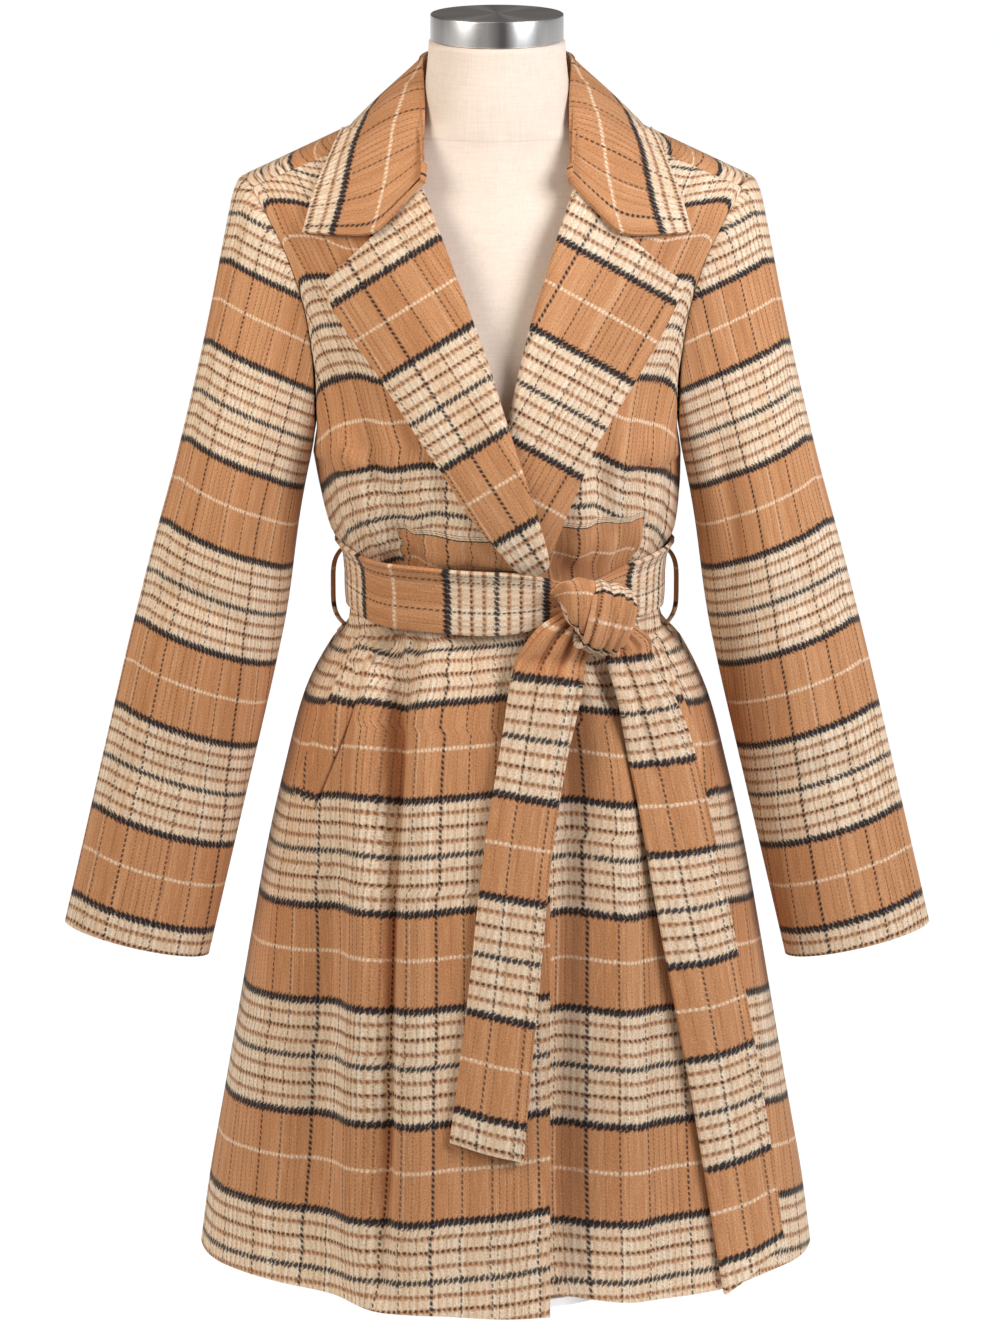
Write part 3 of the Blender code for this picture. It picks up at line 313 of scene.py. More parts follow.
# Gathers at the belt: bearing, half width in degrees, depth, reach above, reach below
GATHERS = np.array([
    (14.0, 3.2, 0.003, 0.05, 0.04), (24.0, 3.0, -0.003, 0.04, 0.06), (33.0, 3.4, 0.004, 0.07, 0.05),
    (43.0, 3.0, -0.005, 0.06, 0.09), (54.0, 3.6, 0.0045, 0.075, 0.06), (61.0, 2.6, -0.006, 0.05, 0.11),
    (70.0, 3.6, 0.003, 0.03, 0.07), (80.0, 3.4, -0.003, 0.02, 0.07), (93.0, 4.0, 0.0025, 0.02, 0.06),
    (104.0, 3.4, -0.004, 0.06, 0.08), (112.0, 3.0, 0.0045, 0.07, 0.06), (119.0, 2.6, -0.0045, 0.075, 0.05),
    (127.0, 3.0, 0.0045, 0.07, 0.06), (136.0, 3.0, -0.0045, 0.06, 0.07), (146.0, 3.4, 0.0045, 0.06, 0.055),
    (157.0, 3.0, -0.0035, 0.05, 0.06), (168.0, 3.2, 0.003, 0.045, 0.05), (190.0, 3.4, 0.003, 0.05, 0.05),
    (201.0, 3.2, -0.0035, 0.05, 0.06), (212.0, 3.6, 0.004, 0.06, 0.065), (224.0, 3.2, -0.004, 0.045, 0.08),
    (236.0, 3.4, 0.0035, 0.065, 0.06), (247.0, 3.0, -0.004, 0.055, 0.075), (259.0, 3.8, 0.003, 0.05, 0.07),
    (272.0, 3.2, -0.004, 0.06, 0.09), (284.0, 3.4, 0.0035, 0.07, 0.055), (296.0, 3.2, -0.0035, 0.05, 0.08),
    (307.0, 3.4, 0.004, 0.045, 0.065), (320.0, 3.2, -0.004, 0.06, 0.06), (332.0, 3.4, 0.0035, 0.05, 0.055),
    (345.0, 3.0, -0.003, 0.045, 0.05),
])


GATHER_CLEAR, GATHER_FADE = 0.017, 0.022   # no gathers so near the belt's middle, growing in this height


def gathers(bearing, z):
    clear = soft((np.abs(z - WAIST_Z) - GATHER_CLEAR) / GATHER_FADE)
    total = np.zeros(np.broadcast(bearing, z).shape)
    for place, half, depth, up, down in GATHERS:
        reach = np.where(z > WAIST_Z, (z - WAIST_Z - BELT_HALF) / up, (WAIST_Z - BELT_HALF - z) / down)
        near = bell(turn_off(bearing, place), 0.0, half)
        total = total + depth * near * np.exp(-np.maximum(reach, 0.0) ** 1.5)
    return total * clear


# Cloth pieces
EDGE_ANGLE = 50.0   # from which an edge of the cloth is softened, degrees


def arc(points, axis):
    """Distance along the rows or columns of a grid of points."""
    steps = np.linalg.norm(np.diff(points, axis=axis), axis=-1)
    start = np.zeros_like(np.take(steps, [0], axis=axis))
    return np.concatenate((start, np.cumsum(steps, axis=axis)), axis=axis)


def placed(name, data):
    """A new object in the scene."""
    made = bpy.data.objects.new(name, data)
    bpy.context.scene.collection.objects.link(made)
    return made


def riding(name, bm, nodes, looks):
    """A smooth piece that rides the root in place of its solids."""
    for f in bm.faces:
        f.smooth = True
    mesh = bpy.data.meshes.new(name)
    bm.to_mesh(mesh)
    bm.free()
    mesh.materials.append(looks)
    piece = placed(name, mesh)
    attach(piece, "root")
    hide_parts(*nodes)
    return piece


def cloth(name, nodes, points, uv, wall, looks, outward, closed=False, edge=0.0009):
    """A sheet over a grid of points, with its cloth coordinates, its thickness inwards and soft edges."""
    rows, cols = points.shape[:2]
    bm = bmesh.new()
    bmesh.ops.create_grid(bm, x_segments=cols - 1, y_segments=rows - 1, size=0.5)
    bm.verts.ensure_lookup_table()
    flat_points, flat_uv = points.reshape(-1, 3), uv.reshape(-1, 2)
    for vert, spot in zip(bm.verts, flat_points):
        vert.co = spot
    layer = bm.loops.layers.uv.new("cloth")
    for face in bm.faces:
        for loop in face.loops:
            loop[layer].uv = flat_uv[loop.vert.index]
    if closed:
        bmesh.ops.remove_doubles(bm, verts=bm.verts, dist=1e-6)
    bm.normal_update()
    facing = sum(f.normal.dot(outward(f.calc_center_median())) * f.calc_area() for f in bm.faces)
    if facing < 0.0:
        bmesh.ops.reverse_faces(bm, faces=bm.faces)
    piece = riding(name, bm, nodes, looks)
    if wall:
        thick = piece.modifiers.new("cloth_wall", "SOLIDIFY")
        thick.thickness, thick.offset, thick.use_even_offset = wall, -1.0, False
        soft_edge = piece.modifiers.new("turned_edge", "BEVEL")
        soft_edge.width, soft_edge.segments = edge, 2
        soft_edge.limit_method, soft_edge.angle_limit = "ANGLE", math.radians(EDGE_ANGLE)
    return piece


def from_axis(centre):
    return Vector((centre.x, centre.y, 0.0)).normalized()


def to_front(centre):
    return Vector((0.0, -1.0, 0.25))


REPEAT = 0.168   # of the check, along the warp


def fan(z):
    """Spread of the warp down the flare."""
    return np.sqrt(SECTIONS[0, 1] / curve(SECTIONS, np.minimum(z, UNDERARM_Z), 1))


# Stripes up a panel: cloth at its foot, cloth for each metre up, gain of that for each metre,
# sag to the sides, gain of the sag for each metre, lean
SKIRT_RUN = {"right": (-0.079, 0.98, 0.09, -0.2, 0.17, -0.13),
             "left": (-0.048, 0.97, 0.1, 0.6, 0.4, -0.19),
             "back": (-0.065, 0.98, 0.08, 0.1, 0.25, 0.0)}
BODICE_FOOT, BODICE_RUN = 0.7, (0.701, 1.24, 0.3, 0.55, -14.5, -5.0)
SLEEVE_RUN = (-0.028, 1.04, 0.16, -0.09, -0.22, -0.4)
TUCK_V, TUCK_DEPTH = 0.606, 0.032   # cloth tucked in above the belt at the middle front, out to its pleats
TUCK_REACH = {"right": (0.079, 0.33), "left": (0.105, 0.5)}   # at its foot, more for each metre up
TUCK_FOOT_Z, TUCK_MIDDLE = 0.594, 0.05   # foot, and half width of the middle part that sets its top
SKIRT_TOP_Z, SKIRT_BLEND = 0.541, 0.022   # where skirt stripes give way to bodice stripes, behind the belt
WARP_SHIFT = 0.058   # of the warp's repeat from the middle


def run_up(row, up, bend, tilt):
    """Cloth coordinate up a panel whose stripes sag with bend and lean with tilt."""
    foot, rate, gain, sag, sag_gain, lean = row
    return foot + (rate + gain * up) * up + (sag + sag_gain * up) * bend + lean * tilt


def body_cloth(points, side):
    """Cloth coordinates of a body panel: across from the middle, up from the hem."""
    x, z = points[..., 0], points[..., 2]
    around = arc(points, 1)
    zero = np.argmin(np.abs(x - MIDDLE_X), axis=1)
    s = (around - np.take_along_axis(around, zero[:, None], 1)) * np.sign(x[:, -1:] - x[:, :1])
    up = arc(points, 0)
    skirt = run_up(SKIRT_RUN[side], up, s ** 2, s)
    bodice = run_up(BODICE_RUN, up - BODICE_FOOT, s ** 2, s ** 4)
    if side != "back":
        level = np.where(np.abs(s) < TUCK_MIDDLE, bodice, np.inf).min(axis=1, keepdims=True)
        reach = TUCK_REACH[side][0] + TUCK_REACH[side][1] * (z - TUCK_FOOT_Z)
        tucked = level < TUCK_V
        top = np.argmax(np.where(tucked[:, 0], z.mean(axis=1), -np.inf))
        drop = bodice[top] - (TUCK_V - TUCK_DEPTH)
        bodice = bodice - drop * (tucked & (np.abs(s) < reach))
    waist = soft((z - SKIRT_TOP_Z) / SKIRT_BLEND)
    return together(s * fan(z) + WARP_SHIFT, skirt + (bodice - skirt) * waist)


# Creases: x, z of one end, x, z of the other, half width, depth
FRONT_CREASES = {
    "right": [(-0.102, 0.7, -0.074, 0.6, 0.008, -0.0065), (-0.12, 0.7, -0.09, 0.6, 0.01, 0.0065),
              (-0.06, 0.655, -0.066, 0.6, 0.008, 0.003), (-0.128, 0.745, -0.112, 0.69, 0.012, -0.004),
              (-0.11, 0.8, -0.125, 0.74, 0.014, 0.0025),
              (-0.078, 0.52, -0.094, 0.38, 0.01, -0.005), (-0.045, 0.515, -0.05, 0.44, 0.009, -0.0025),
              (0.01, 0.52, 0.012, 0.455, 0.009, -0.003), (-0.08, 0.535, -0.092, 0.05, 0.01, -0.02),
              (-0.05, 0.51, -0.06, 0.06, 0.016, 0.006), (-0.1, 0.53, -0.113, 0.05, 0.012, 0.008),
              (-0.128, 0.36, -0.15, 0.06, 0.014, -0.008)],
    "left": [(0.078, 0.68, 0.092, 0.6, 0.009, -0.0045), (0.098, 0.69, 0.106, 0.6, 0.008, 0.0035),
             (0.112, 0.67, 0.118, 0.6, 0.007, -0.0035), (0.13, 0.745, 0.116, 0.69, 0.012, -0.004),
             (0.115, 0.8, 0.128, 0.74, 0.014, 0.0025), (0.066, 0.665, 0.074, 0.6, 0.008, 0.003),
             (0.1, 0.515, 0.125, 0.4, 0.01, -0.004), (0.05, 0.52, 0.056, 0.04, 0.019, -0.018),
             (0.09, 0.5, 0.112, 0.06, 0.014, 0.007)],
}
BACK_CREASES = [(-0.03, 0.69, -0.06, 0.6, 0.012, -0.0035), (0.035, 0.68, 0.055, 0.6, 0.012, -0.0035),
                (-0.09, 0.68, -0.098, 0.6, 0.01, 0.003), (0.09, 0.7, 0.1, 0.6, 0.01, 0.003),
                (-0.12, 0.8, -0.1, 0.72, 0.016, -0.0035), (0.12, 0.8, 0.1, 0.72, 0.016, -0.0035),
                (0.0, 0.66, 0.004, 0.6, 0.01, 0.0025),
                (-0.05, 0.52, -0.062, 0.38, 0.012, -0.004), (0.045, 0.52, 0.058, 0.4, 0.012, -0.004)]


def rows_to(level_top, lower, upper):
    return np.concatenate((np.linspace(HEM_Z, UNDERARM_Z, lower),
                           np.linspace(UNDERARM_Z, level_top, upper + 1)[1:]))


def seam_dip(distance, depth=0.0009, width=0.0022):
    """A panel's edge drawn in by its seam."""
    return -depth * bell(distance, 0.0, width)


EDGE_TURN_Z, EDGE_TURN_RUN = 0.555, 0.02   # where a front's edge sets back behind its roll line
GATHER_TOP = UNDERARM_Z + 0.2              # level above which nothing is gathered
BACK_SIDE = 24.0                           # degrees of finer columns at the back's sides
GIRTH_RUN, ARCH_RUN = 0.25, 0.36           # metres across a front, and for each unit of level at its top


def front(name, node, side, looks):
    top = UNDERARM_Z + SEAM_ARCH / 90.0
    levels = rows_to(top, 118, 60)[:, None]
    shares = row(0.0, 1.0, 112)
    away = 1.0 if side == "right" else -1.0
    gorge = on_face(roll_x(GORGE_Z, side), GORGE_Z)[1]
    z_low = np.minimum(levels, UNDERARM_Z)
    set_back = away * ROLL_SET_BACK
    edge_low = on_face(roll_x(z_low, side) - set_back * soft((z_low - EDGE_TURN_Z) / EDGE_TURN_RUN), z_low)[0]
    w = np.sin(np.radians(np.clip((levels - UNDERARM_Z) * 90.0, 0.0, 90.0)))
    x = np.full(levels.shape, float(roll_x(UNDERARM_Z, side)))
    for _ in range(8):
        z = chest_z(x, w)
        x = roll_x(z, side) - set_back
    edge_roll = on_face(x, z)[0]
    t = np.clip((levels - gorge) / (top - gorge), 0.0, 1.0)
    x_neck = roll_x(GORGE_Z, side) - set_back
    x_neck = x_neck + (-away * NECK_X - x_neck) * t
    edge_neck = on_face(x_neck, chest_z(x_neck, w))[0]
    inner = np.where(levels <= UNDERARM_Z, edge_low, np.where(levels <= gorge, edge_roll, edge_neck))
    start = SIDE_PHI if side == "right" else 180.0 - SIDE_PHI
    phi = start + (inner - start) * shares
    level = np.broadcast_to(levels, phi.shape)
    spot = coat_face(-1, phi, level)
    if side == "left":
        inward = soft((UNDER_HEM_X - spot[..., 0]) / UNDER_FADE)
        level = level + UNDER_RISE * inward * (1.0 - soft((level - HEM_Z) / UNDER_HEM_RUN))
        spot = coat_face(-1, phi, level)
        lift = under_set(spot[..., 0], spot[..., 2])
    else:
        lift = wrap_lift(spot[..., 0], spot[..., 2])
    fade = soft((levels - HEM_Z) / FADE)
    lift = lift + creases(FRONT_CREASES[side], spot[..., 0], spot[..., 2]) * fade
    lift = lift + gathers(phi, spot[..., 2]) * (levels <= GATHER_TOP)
    lift = lift + seam_dip(shares * GIRTH_RUN) + seam_dip((top - level) * ARCH_RUN)
    points = spot + coat_normal(-1, phi, level) * lift[..., None]
    uv = body_cloth(spot, side)
    return cloth(name, [node], points, uv, WALL, looks, from_axis)


def back(looks):
    neck_share = NECK_X / SHOULDER_X
    top = 180.0 - SEAM_ARCH
    levels = rows_to(UNDERARM_Z + top / 90.0, 118, 80)[:, None]
    half_cols = np.concatenate((np.linspace(SIDE_PHI, BACK_SIDE, 40), np.linspace(BACK_SIDE, 90.0, 46)[1:]))
    phi = np.concatenate((half_cols, 180.0 - half_cols[::-1][1:]))[None, :]
    share = np.abs(signed_power(np.cos(np.radians(phi)), 2.0 / SECTION_POWER)) / neck_share
    drop = 1.0 - np.sqrt(np.maximum(1.0 - np.minimum(share, 1.0) ** 2, 0.0))
    full = np.where(share < 0.9999, NECK_BACK_ARCH + (top - NECK_BACK_ARCH) * drop, top)
    level = np.where(levels > UNDERARM_Z, UNDERARM_Z + (levels - UNDERARM_Z) * full / top, levels)
    phi = np.broadcast_to(phi, level.shape)
    spot = coat_face(1, phi, level)
    over = level > UNDERARM_Z + 1.0
    n = np.where(over[..., None], coat_normal(-1, phi, np.where(over, 2 * UNDERARM_Z + 2.0 - level, level)),
                 coat_normal(1, phi, np.minimum(level, UNDERARM_Z + 0.995)))
    lift = creases(BACK_CREASES, spot[..., 0], spot[..., 2]) * soft((levels - HEM_Z) / FADE) * ~over
    lift = lift + gathers(RING - phi, spot[..., 2]) * (level <= GATHER_TOP)
    lift = lift + seam_dip((levels[-1] - level) * ARCH_RUN)
    lift = lift + seam_dip(spot[..., 0] - MIDDLE_X, 0.0011, 0.0018)
    points = spot + n * lift[..., None]
    uv = body_cloth(spot, "back")
    return cloth("coat_back", ["back"], points, uv, WALL, looks, from_axis)


def armhole_level(turn):
    w = (1.0 - np.cos(np.radians(np.minimum(turn, RING - turn)))) / 2.0
    return UNDERARM_Z + np.degrees(np.arcsin(np.minimum(w, 1.0))) / 90.0


# Creases: metres round and down of one end, then of the other, half width, depth
SLEEVE_GIRTH, SLEEVE_LENGTH, OUTSIDE_TURN = 0.34, 0.6, 150.0
SLEEVE_CREASES = [(0.075, 0.1, 0.055, 0.2, 0.012, -0.004), (0.28, 0.1, 0.255, 0.22, 0.012, -0.0035),
                  (0.06, 0.26, 0.15, 0.33, 0.01, -0.003), (0.3, 0.28, 0.215, 0.36, 0.012, -0.003),
                  (0.04, 0.4, 0.12, 0.46, 0.012, -0.0025), (0.225, 0.46, 0.29, 0.5, 0.014, -0.002),
                  (0.15, 0.05, 0.14, 0.13, 0.012, 0.002), (0.2, 0.05, 0.205, 0.13, 0.012, 0.0018)]


def sleeve(name, node, mirror, looks, shift):
    top, end = np.array(SLEEVE_TOP), np.array(SLEEVE_END)
    length = np.linalg.norm(end - top)
    along = (end - top) / length
    ahead = np.array((0.0, -1.0, 0.0))
    ahead = unit(ahead - along * np.dot(ahead, along))
    inward = np.cross(along, ahead)
    inward = inward if inward[0] > 0 else -inward
    turn = row(0.0, RING, 133)
    share = np.concatenate((np.linspace(0.0, 0.14, 40), np.linspace(0.14, 1.0, 130)[1:]))[:, None]
    face = np.where(turn <= 180.0, -1, 1)
    start = coat_face(face, 0.0, armhole_level(turn)) + np.array((-2.2 * SEAM, 0.0, 0.0))
    rel = start - top
    reach0, p0, q0 = rel @ along, rel @ inward, rel @ ahead
    reach = reach0 + (length - reach0) * share
    t, a = reach / length, np.radians(turn)
    crest = np.maximum(0.0, -np.cos(a)) ** 2
    roll = np.sqrt(np.maximum(0.0, 1.0 - np.maximum(0.0, 1.0 - share / SLEEVE_CREST) ** 2))
    blend = crest * roll + (1.0 - crest) * soft(share / SLEEVE_EASE)
    bulge = creases(SLEEVE_CREASES, np.broadcast_to(turn / RING * SLEEVE_GIRTH, t.shape),
                    share * SLEEVE_LENGTH)
    bulge = bulge * soft(share / 0.05) + seam_dip(share * SLEEVE_LENGTH, 0.001, 0.0035)
    p = p0 + (curve(SLEEVE, t, 1) * np.cos(a) - p0) * blend + bulge * np.cos(a)
    q = q0 + (curve(SLEEVE, t, 2) * np.sin(a) - q0) * blend + bulge * np.sin(a)
    q = q + curve(SLEEVE, t, 3) * blend
    points = top + reach[..., None] * along + p[..., None] * inward + q[..., None] * ahead
    around = arc(points, 1)
    outside = np.argmin(np.abs(turn - OUTSIDE_TURN))
    u = around - around[:, outside:outside + 1]
    v = run_up(SLEEVE_RUN, length - reach, -np.abs(u), u ** 2)
    u = u + shift
    if mirror:
        points = points * np.array((-1.0, 1.0, 1.0))
        u = -u
    middle = points.mean(axis=1)

    def outward(centre):
        row = int(np.argmin(np.abs(middle[:, 2] - centre.z)))
        return Vector((centre.x - middle[row, 0], centre.y - middle[row, 1], 0.0)).normalized()

    return cloth(name, [node], points, np.stack((u, v), -1), WALL, looks, outward, closed=True)


# Grain of a lapel: degrees turned, cloth at the origin across and up, cloth across for each metre of depth
LAPEL_GRAIN = {"right": (32.0, -0.234, -0.552, 0.12), "left": (-29.0, 0.903, -0.576, -0.12)}
LAPEL_STRETCH, LAPEL_DEPTH = 1.1, 0.19   # cloth for each metre along the grain, up for each metre of depth
LAPEL_PUFF = 0.0022   # fullness of its middle


def lapel(name, node, side, table, looks):
    stations = np.concatenate(([0.0], np.cumsum(np.abs(np.diff(table[:, 0])))))
    keyed = np.column_stack((stations / stations[-1], table))
    share = column(0.0, 1.0, 120)
    u = row(0.0, 1.0, 64) ** 1.3
    roll_z = curve(keyed, share, 1)
    start = np.stack((roll_x(roll_z, side), roll_z), -1)
    end = np.stack((curve(keyed, share, 2), curve(keyed, share, 3)), -1)
    spot = start + (end - start) * u[..., None]
    width = np.linalg.norm(end - start, axis=-1)
    lift = curve(LAPEL_RISE, u * width, 1)
    puff = LAPEL_PUFF * np.sin(np.pi * u) * soft(share / 0.2) * soft((1.0 - share) / 0.3)
    lift = lift + puff + (wrap_lift(spot[..., 0], spot[..., 1]) if side == "right" else 0.0)
    points = on_front(spot[..., 0], spot[..., 1], lift)
    grain, across, up, sideways = LAPEL_GRAIN[side]
    x, y, z = points[..., 0], points[..., 1], points[..., 2]
    cosine, sine = math.cos(math.radians(grain)), math.sin(math.radians(grain))
    across = across + LAPEL_STRETCH * (x * cosine + z * sine) + sideways * y
    up = up + LAPEL_STRETCH * (z * cosine - x * sine) + LAPEL_DEPTH * y
    return cloth(name, [node], points, together(across, up), LAPEL_WALL, looks, to_front, edge=TURNED_EDGE)


def smoothed(points, axis, passes):
    """Rows or columns of a grid eased, ends kept."""
    for _ in range(passes):
        inner = [slice(None)] * 3
        before, after = list(inner), list(inner)
        inner[axis], before[axis], after[axis] = slice(1, -1), slice(None, -2), slice(2, None)
        points = points.copy()
        points[tuple(inner)] = (points[tuple(inner)] * 2 + points[tuple(before)] + points[tuple(after)]) / 4
    return points


STAND_SHARE, FALL_SHARE = 0.3, 0.34   # of the collar's width, its stand and where its fall begins
COLLAR_TURN = 0.72                     # share from the middle back where the stand gives way
COLLAR_ROW, COLLAR_LEAST = 50, 0.005   # column whose length is used, least cloth coordinate
COLLAR_PASSES = (6, 36)                # of easing, along and across
TURNED_EDGE = 0.0014                   # roundness of the lapels' and the collar's edges


def collar(looks, run):
    t = np.linspace(-1.0, 1.0, 181)
    s = 0.994 * np.abs(t)[:, None]
    v = row(0.0, 1.0, 72)
    lines = [together(*(curve(COLLAR, s, first + i) for i in range(3))) for first in (1, 4, 7, 10)]
    neck, crown, mid, edge = lines
    v3 = v[..., None]
    neck = neck + (crown - neck) * (0.9 * soft((s - COLLAR_TURN) / 0.2))[..., None]
    stand = neck + (crown - neck) * np.minimum(v3 / STAND_SHARE, 1.0)
    u = np.maximum((v3 - STAND_SHARE) / (1.0 - STAND_SHARE), 0.0)
    curved = crown * (1 - u) * (1 - 2 * u) + mid * 4 * u * (1 - u) + edge * u * (2 * u - 1)
    bent = np.where(u < 0.5, crown + (mid - crown) * 2 * u, mid + (edge - mid) * (2 * u - 1))
    ends = soft((s - COLLAR_TURN) / (1.0 - COLLAR_TURN))[..., None]
    points = np.where(v3 <= STAND_SHARE, stand, curved + (bent - curved) * ends)
    points = smoothed(points, 1, COLLAR_PASSES[1])
    points = smoothed(points, 0, COLLAR_PASSES[0])
    fall = np.broadcast_to(v >= FALL_SHARE, points.shape[:2])
    x, y, z = points[..., 0], points[..., 1], points[..., 2]
    face = np.where(y < 0.0, -1, 1)
    phi, level = on_face(x, z)
    n = coat_normal(face, phi, level)
    stand_off = ((points - coat_face(face, phi, level)) * n).sum(-1)
    room = LAPEL_WALL + LAY
    below = z < shoulder_top(x) - 0.001
    push = np.where(fall & below & (stand_off < room), room - stand_off, 0.0)
    points = points + n * push[..., None]
    points = points * np.where(t[:, None] <= 0.0, 1.0, -1.0)[..., None] ** np.array((1, 0, 0))
    from_edge = arc(points[:, ::-1], 1)[:, ::-1]
    along = arc(points, 0)
    along = along - along[len(t) // 2]
    along = along[:, COLLAR_ROW:COLLAR_ROW + 1]
    uv = together(along, np.maximum(run[0] + run[1] * from_edge, COLLAR_LEAST))

    def outward(centre):
        return Vector((centre.x, centre.y - 0.02, 0.06)).normalized()

    return cloth("coat_collar", ["collar"], points, uv, LAPEL_WALL, looks, outward, edge=TURNED_EDGE)


# Belt: rise over the lap with its two ends and their run, pinch at the knot with its place and width
BELT_OVER, BELT_OVER_FROM, BELT_OVER_TO, BELT_OVER_RUN = 0.0082, -0.105, 0.095, 0.035
BELT_PINCH, BELT_PINCH_X, BELT_PINCH_WIDTH, BELT_FLARE = 0.52, 0.063, 0.034, 1.6


def belt_place(bearing, rise, lift, level=WAIST_Z):
    """Point of the belt; bearing 90 front, rise -1..1 up its width."""
    face = np.where(bearing <= 180.0, -1, 1)
    phi = np.where(bearing <= 180.0, bearing, RING - bearing)
    spot = coat_face(face, phi, level)
    n = coat_normal(face, phi, level) * np.array((1.0, 1.0, 0.0))
    n = unit(n)
    x = spot[..., 0]
    over_lap = soft((x - BELT_OVER_FROM) / BELT_OVER_RUN) * soft((BELT_OVER_TO - x) / BELT_OVER_RUN)
    over_lap = BELT_OVER * over_lap * (face < 0)
    pinch = BELT_PINCH * bell(x, BELT_PINCH_X, BELT_PINCH_WIDTH) * (face < 0)
    half = BELT_HALF * (1.0 - pinch)
    flare = curve(SECTIONS, level + rise * half, 1) - curve(SECTIONS, level + 0.0 * half, 1)
    out = LAY + over_lap + np.maximum(flare, 0.0) * BELT_FLARE + lift
    points = spot + n * out[..., None]
    points[..., 2] += rise * half
    return points


# Stripes along the belt: way round from the right side, cloth coordinate
BELT_RUN = np.array([(0.0, 0.138), (0.068, 0.077), (0.154, 0.0), (0.23, -0.091), (0.8, -0.661)])
BELT_FOLDS = [(0.34, 0.12, 0.0011), (-0.28, 0.1, 0.0012)]   # place up the width, half width, depth
BELT_FOLD_BEARING, BELT_FOLD_SPREAD, BELT_CROWN, BELT_WARP = 122.0, 26.0, 0.0012, 0.031
BELT_WAVES = [(0.0012, 3.0, 40.0), (0.0008, 7.0, 0.0)]   # height, waves round, start in degrees


def belt(looks):
    bearing, rise = row(0.0, RING, 241), column(-1.0, 1.0, 27)
    near = bell(bearing, BELT_FOLD_BEARING, BELT_FOLD_SPREAD)
    folds = sum(depth * bell(rise, place, half) for place, half, depth in BELT_FOLDS)
    crown = BELT_CROWN * (1.0 - rise ** 4)
    points = belt_place(bearing, rise, BELT_WALL - 0.0008 + crown - folds * near)
    for high, count, start in BELT_WAVES:
        points[..., 2] += high * np.sin(np.radians(bearing * count + start))
    around = arc(points, 1).mean(axis=0)[None, :]
    uv = together(rise * BELT_HALF + BELT_WARP, np.interp(around, *BELT_RUN.T))
    return cloth("coat_belt", ["belt_band"], points, uv, BELT_WALL - 0.001, looks, from_axis, closed=True,
                 edge=0.0012)


def knot_axes():
    phi = on_face(KNOT_X, BELT_Z)[0]
    n = unit(coat_normal(-1, phi, BELT_Z) * np.array((1.0, 1.0, 0.0)))
    base = belt_place(np.array(float(phi)), np.array(0.0), np.array(BELT_WALL), BELT_Z)
    up = np.array((0.0, 0.0, 1.0))
    right = np.cross(up, -n)
    right = right if right[0] > 0 else -right
    lean = math.radians(KNOT_LEAN)
    return base, n, right * math.cos(lean) + up * math.sin(lean), up * math.cos(lean) - right * math.sin(lean)


KNOT_SHIFT, KNOT_SHRINK = -0.014, 0.0042   # of the wraps along the belt and inside their solids
CORE_SHIFT, CORE_SHEAR, CORE_DROOP = (KNOT_SHIFT - 0.011, 0.0045), 0.015, 0.013
CORE_FOLD, CORE_FOLD_STEP, CORE_SINK = 0.0038, 34.0, 0.0012
TURN_FOLD, TURN_FOLDS, TURN_CROWN, TURN_SINK = 0.0034, 4.6, 0.002, 0.0016


def knot_place(spin, tilt, lift, back, shift=(KNOT_SHIFT, 0.0), shear=0.0):
    """Face of the knot: spin along it from its left to its right end, tilt around it from its top."""
    base, out, along, over = knot_axes()
    a, b = np.radians(spin), np.radians(tilt)
    lift = lift - KNOT_SHRINK
    size = signed_power(np.sin(a), 0.75)
    reach = -signed_power(np.cos(a), 0.75) * (KNOT_HALF[0] + lift) + shift[0] + shear * (1.0 - np.cos(b)) / 2
    high = signed_power(np.cos(b), 0.8) * size * (KNOT_HALF[2] + lift) + shift[1]
    deep = signed_power(np.sin(b), 0.8) * size * (KNOT_HALF[1] + lift) - back
    middle = base + out * (KNOT_HALF[1] + KNOT_TURN_WALL + KNOT_STAND)
    return middle + reach[..., None] * along + high[..., None] * over + deep[..., None] * out


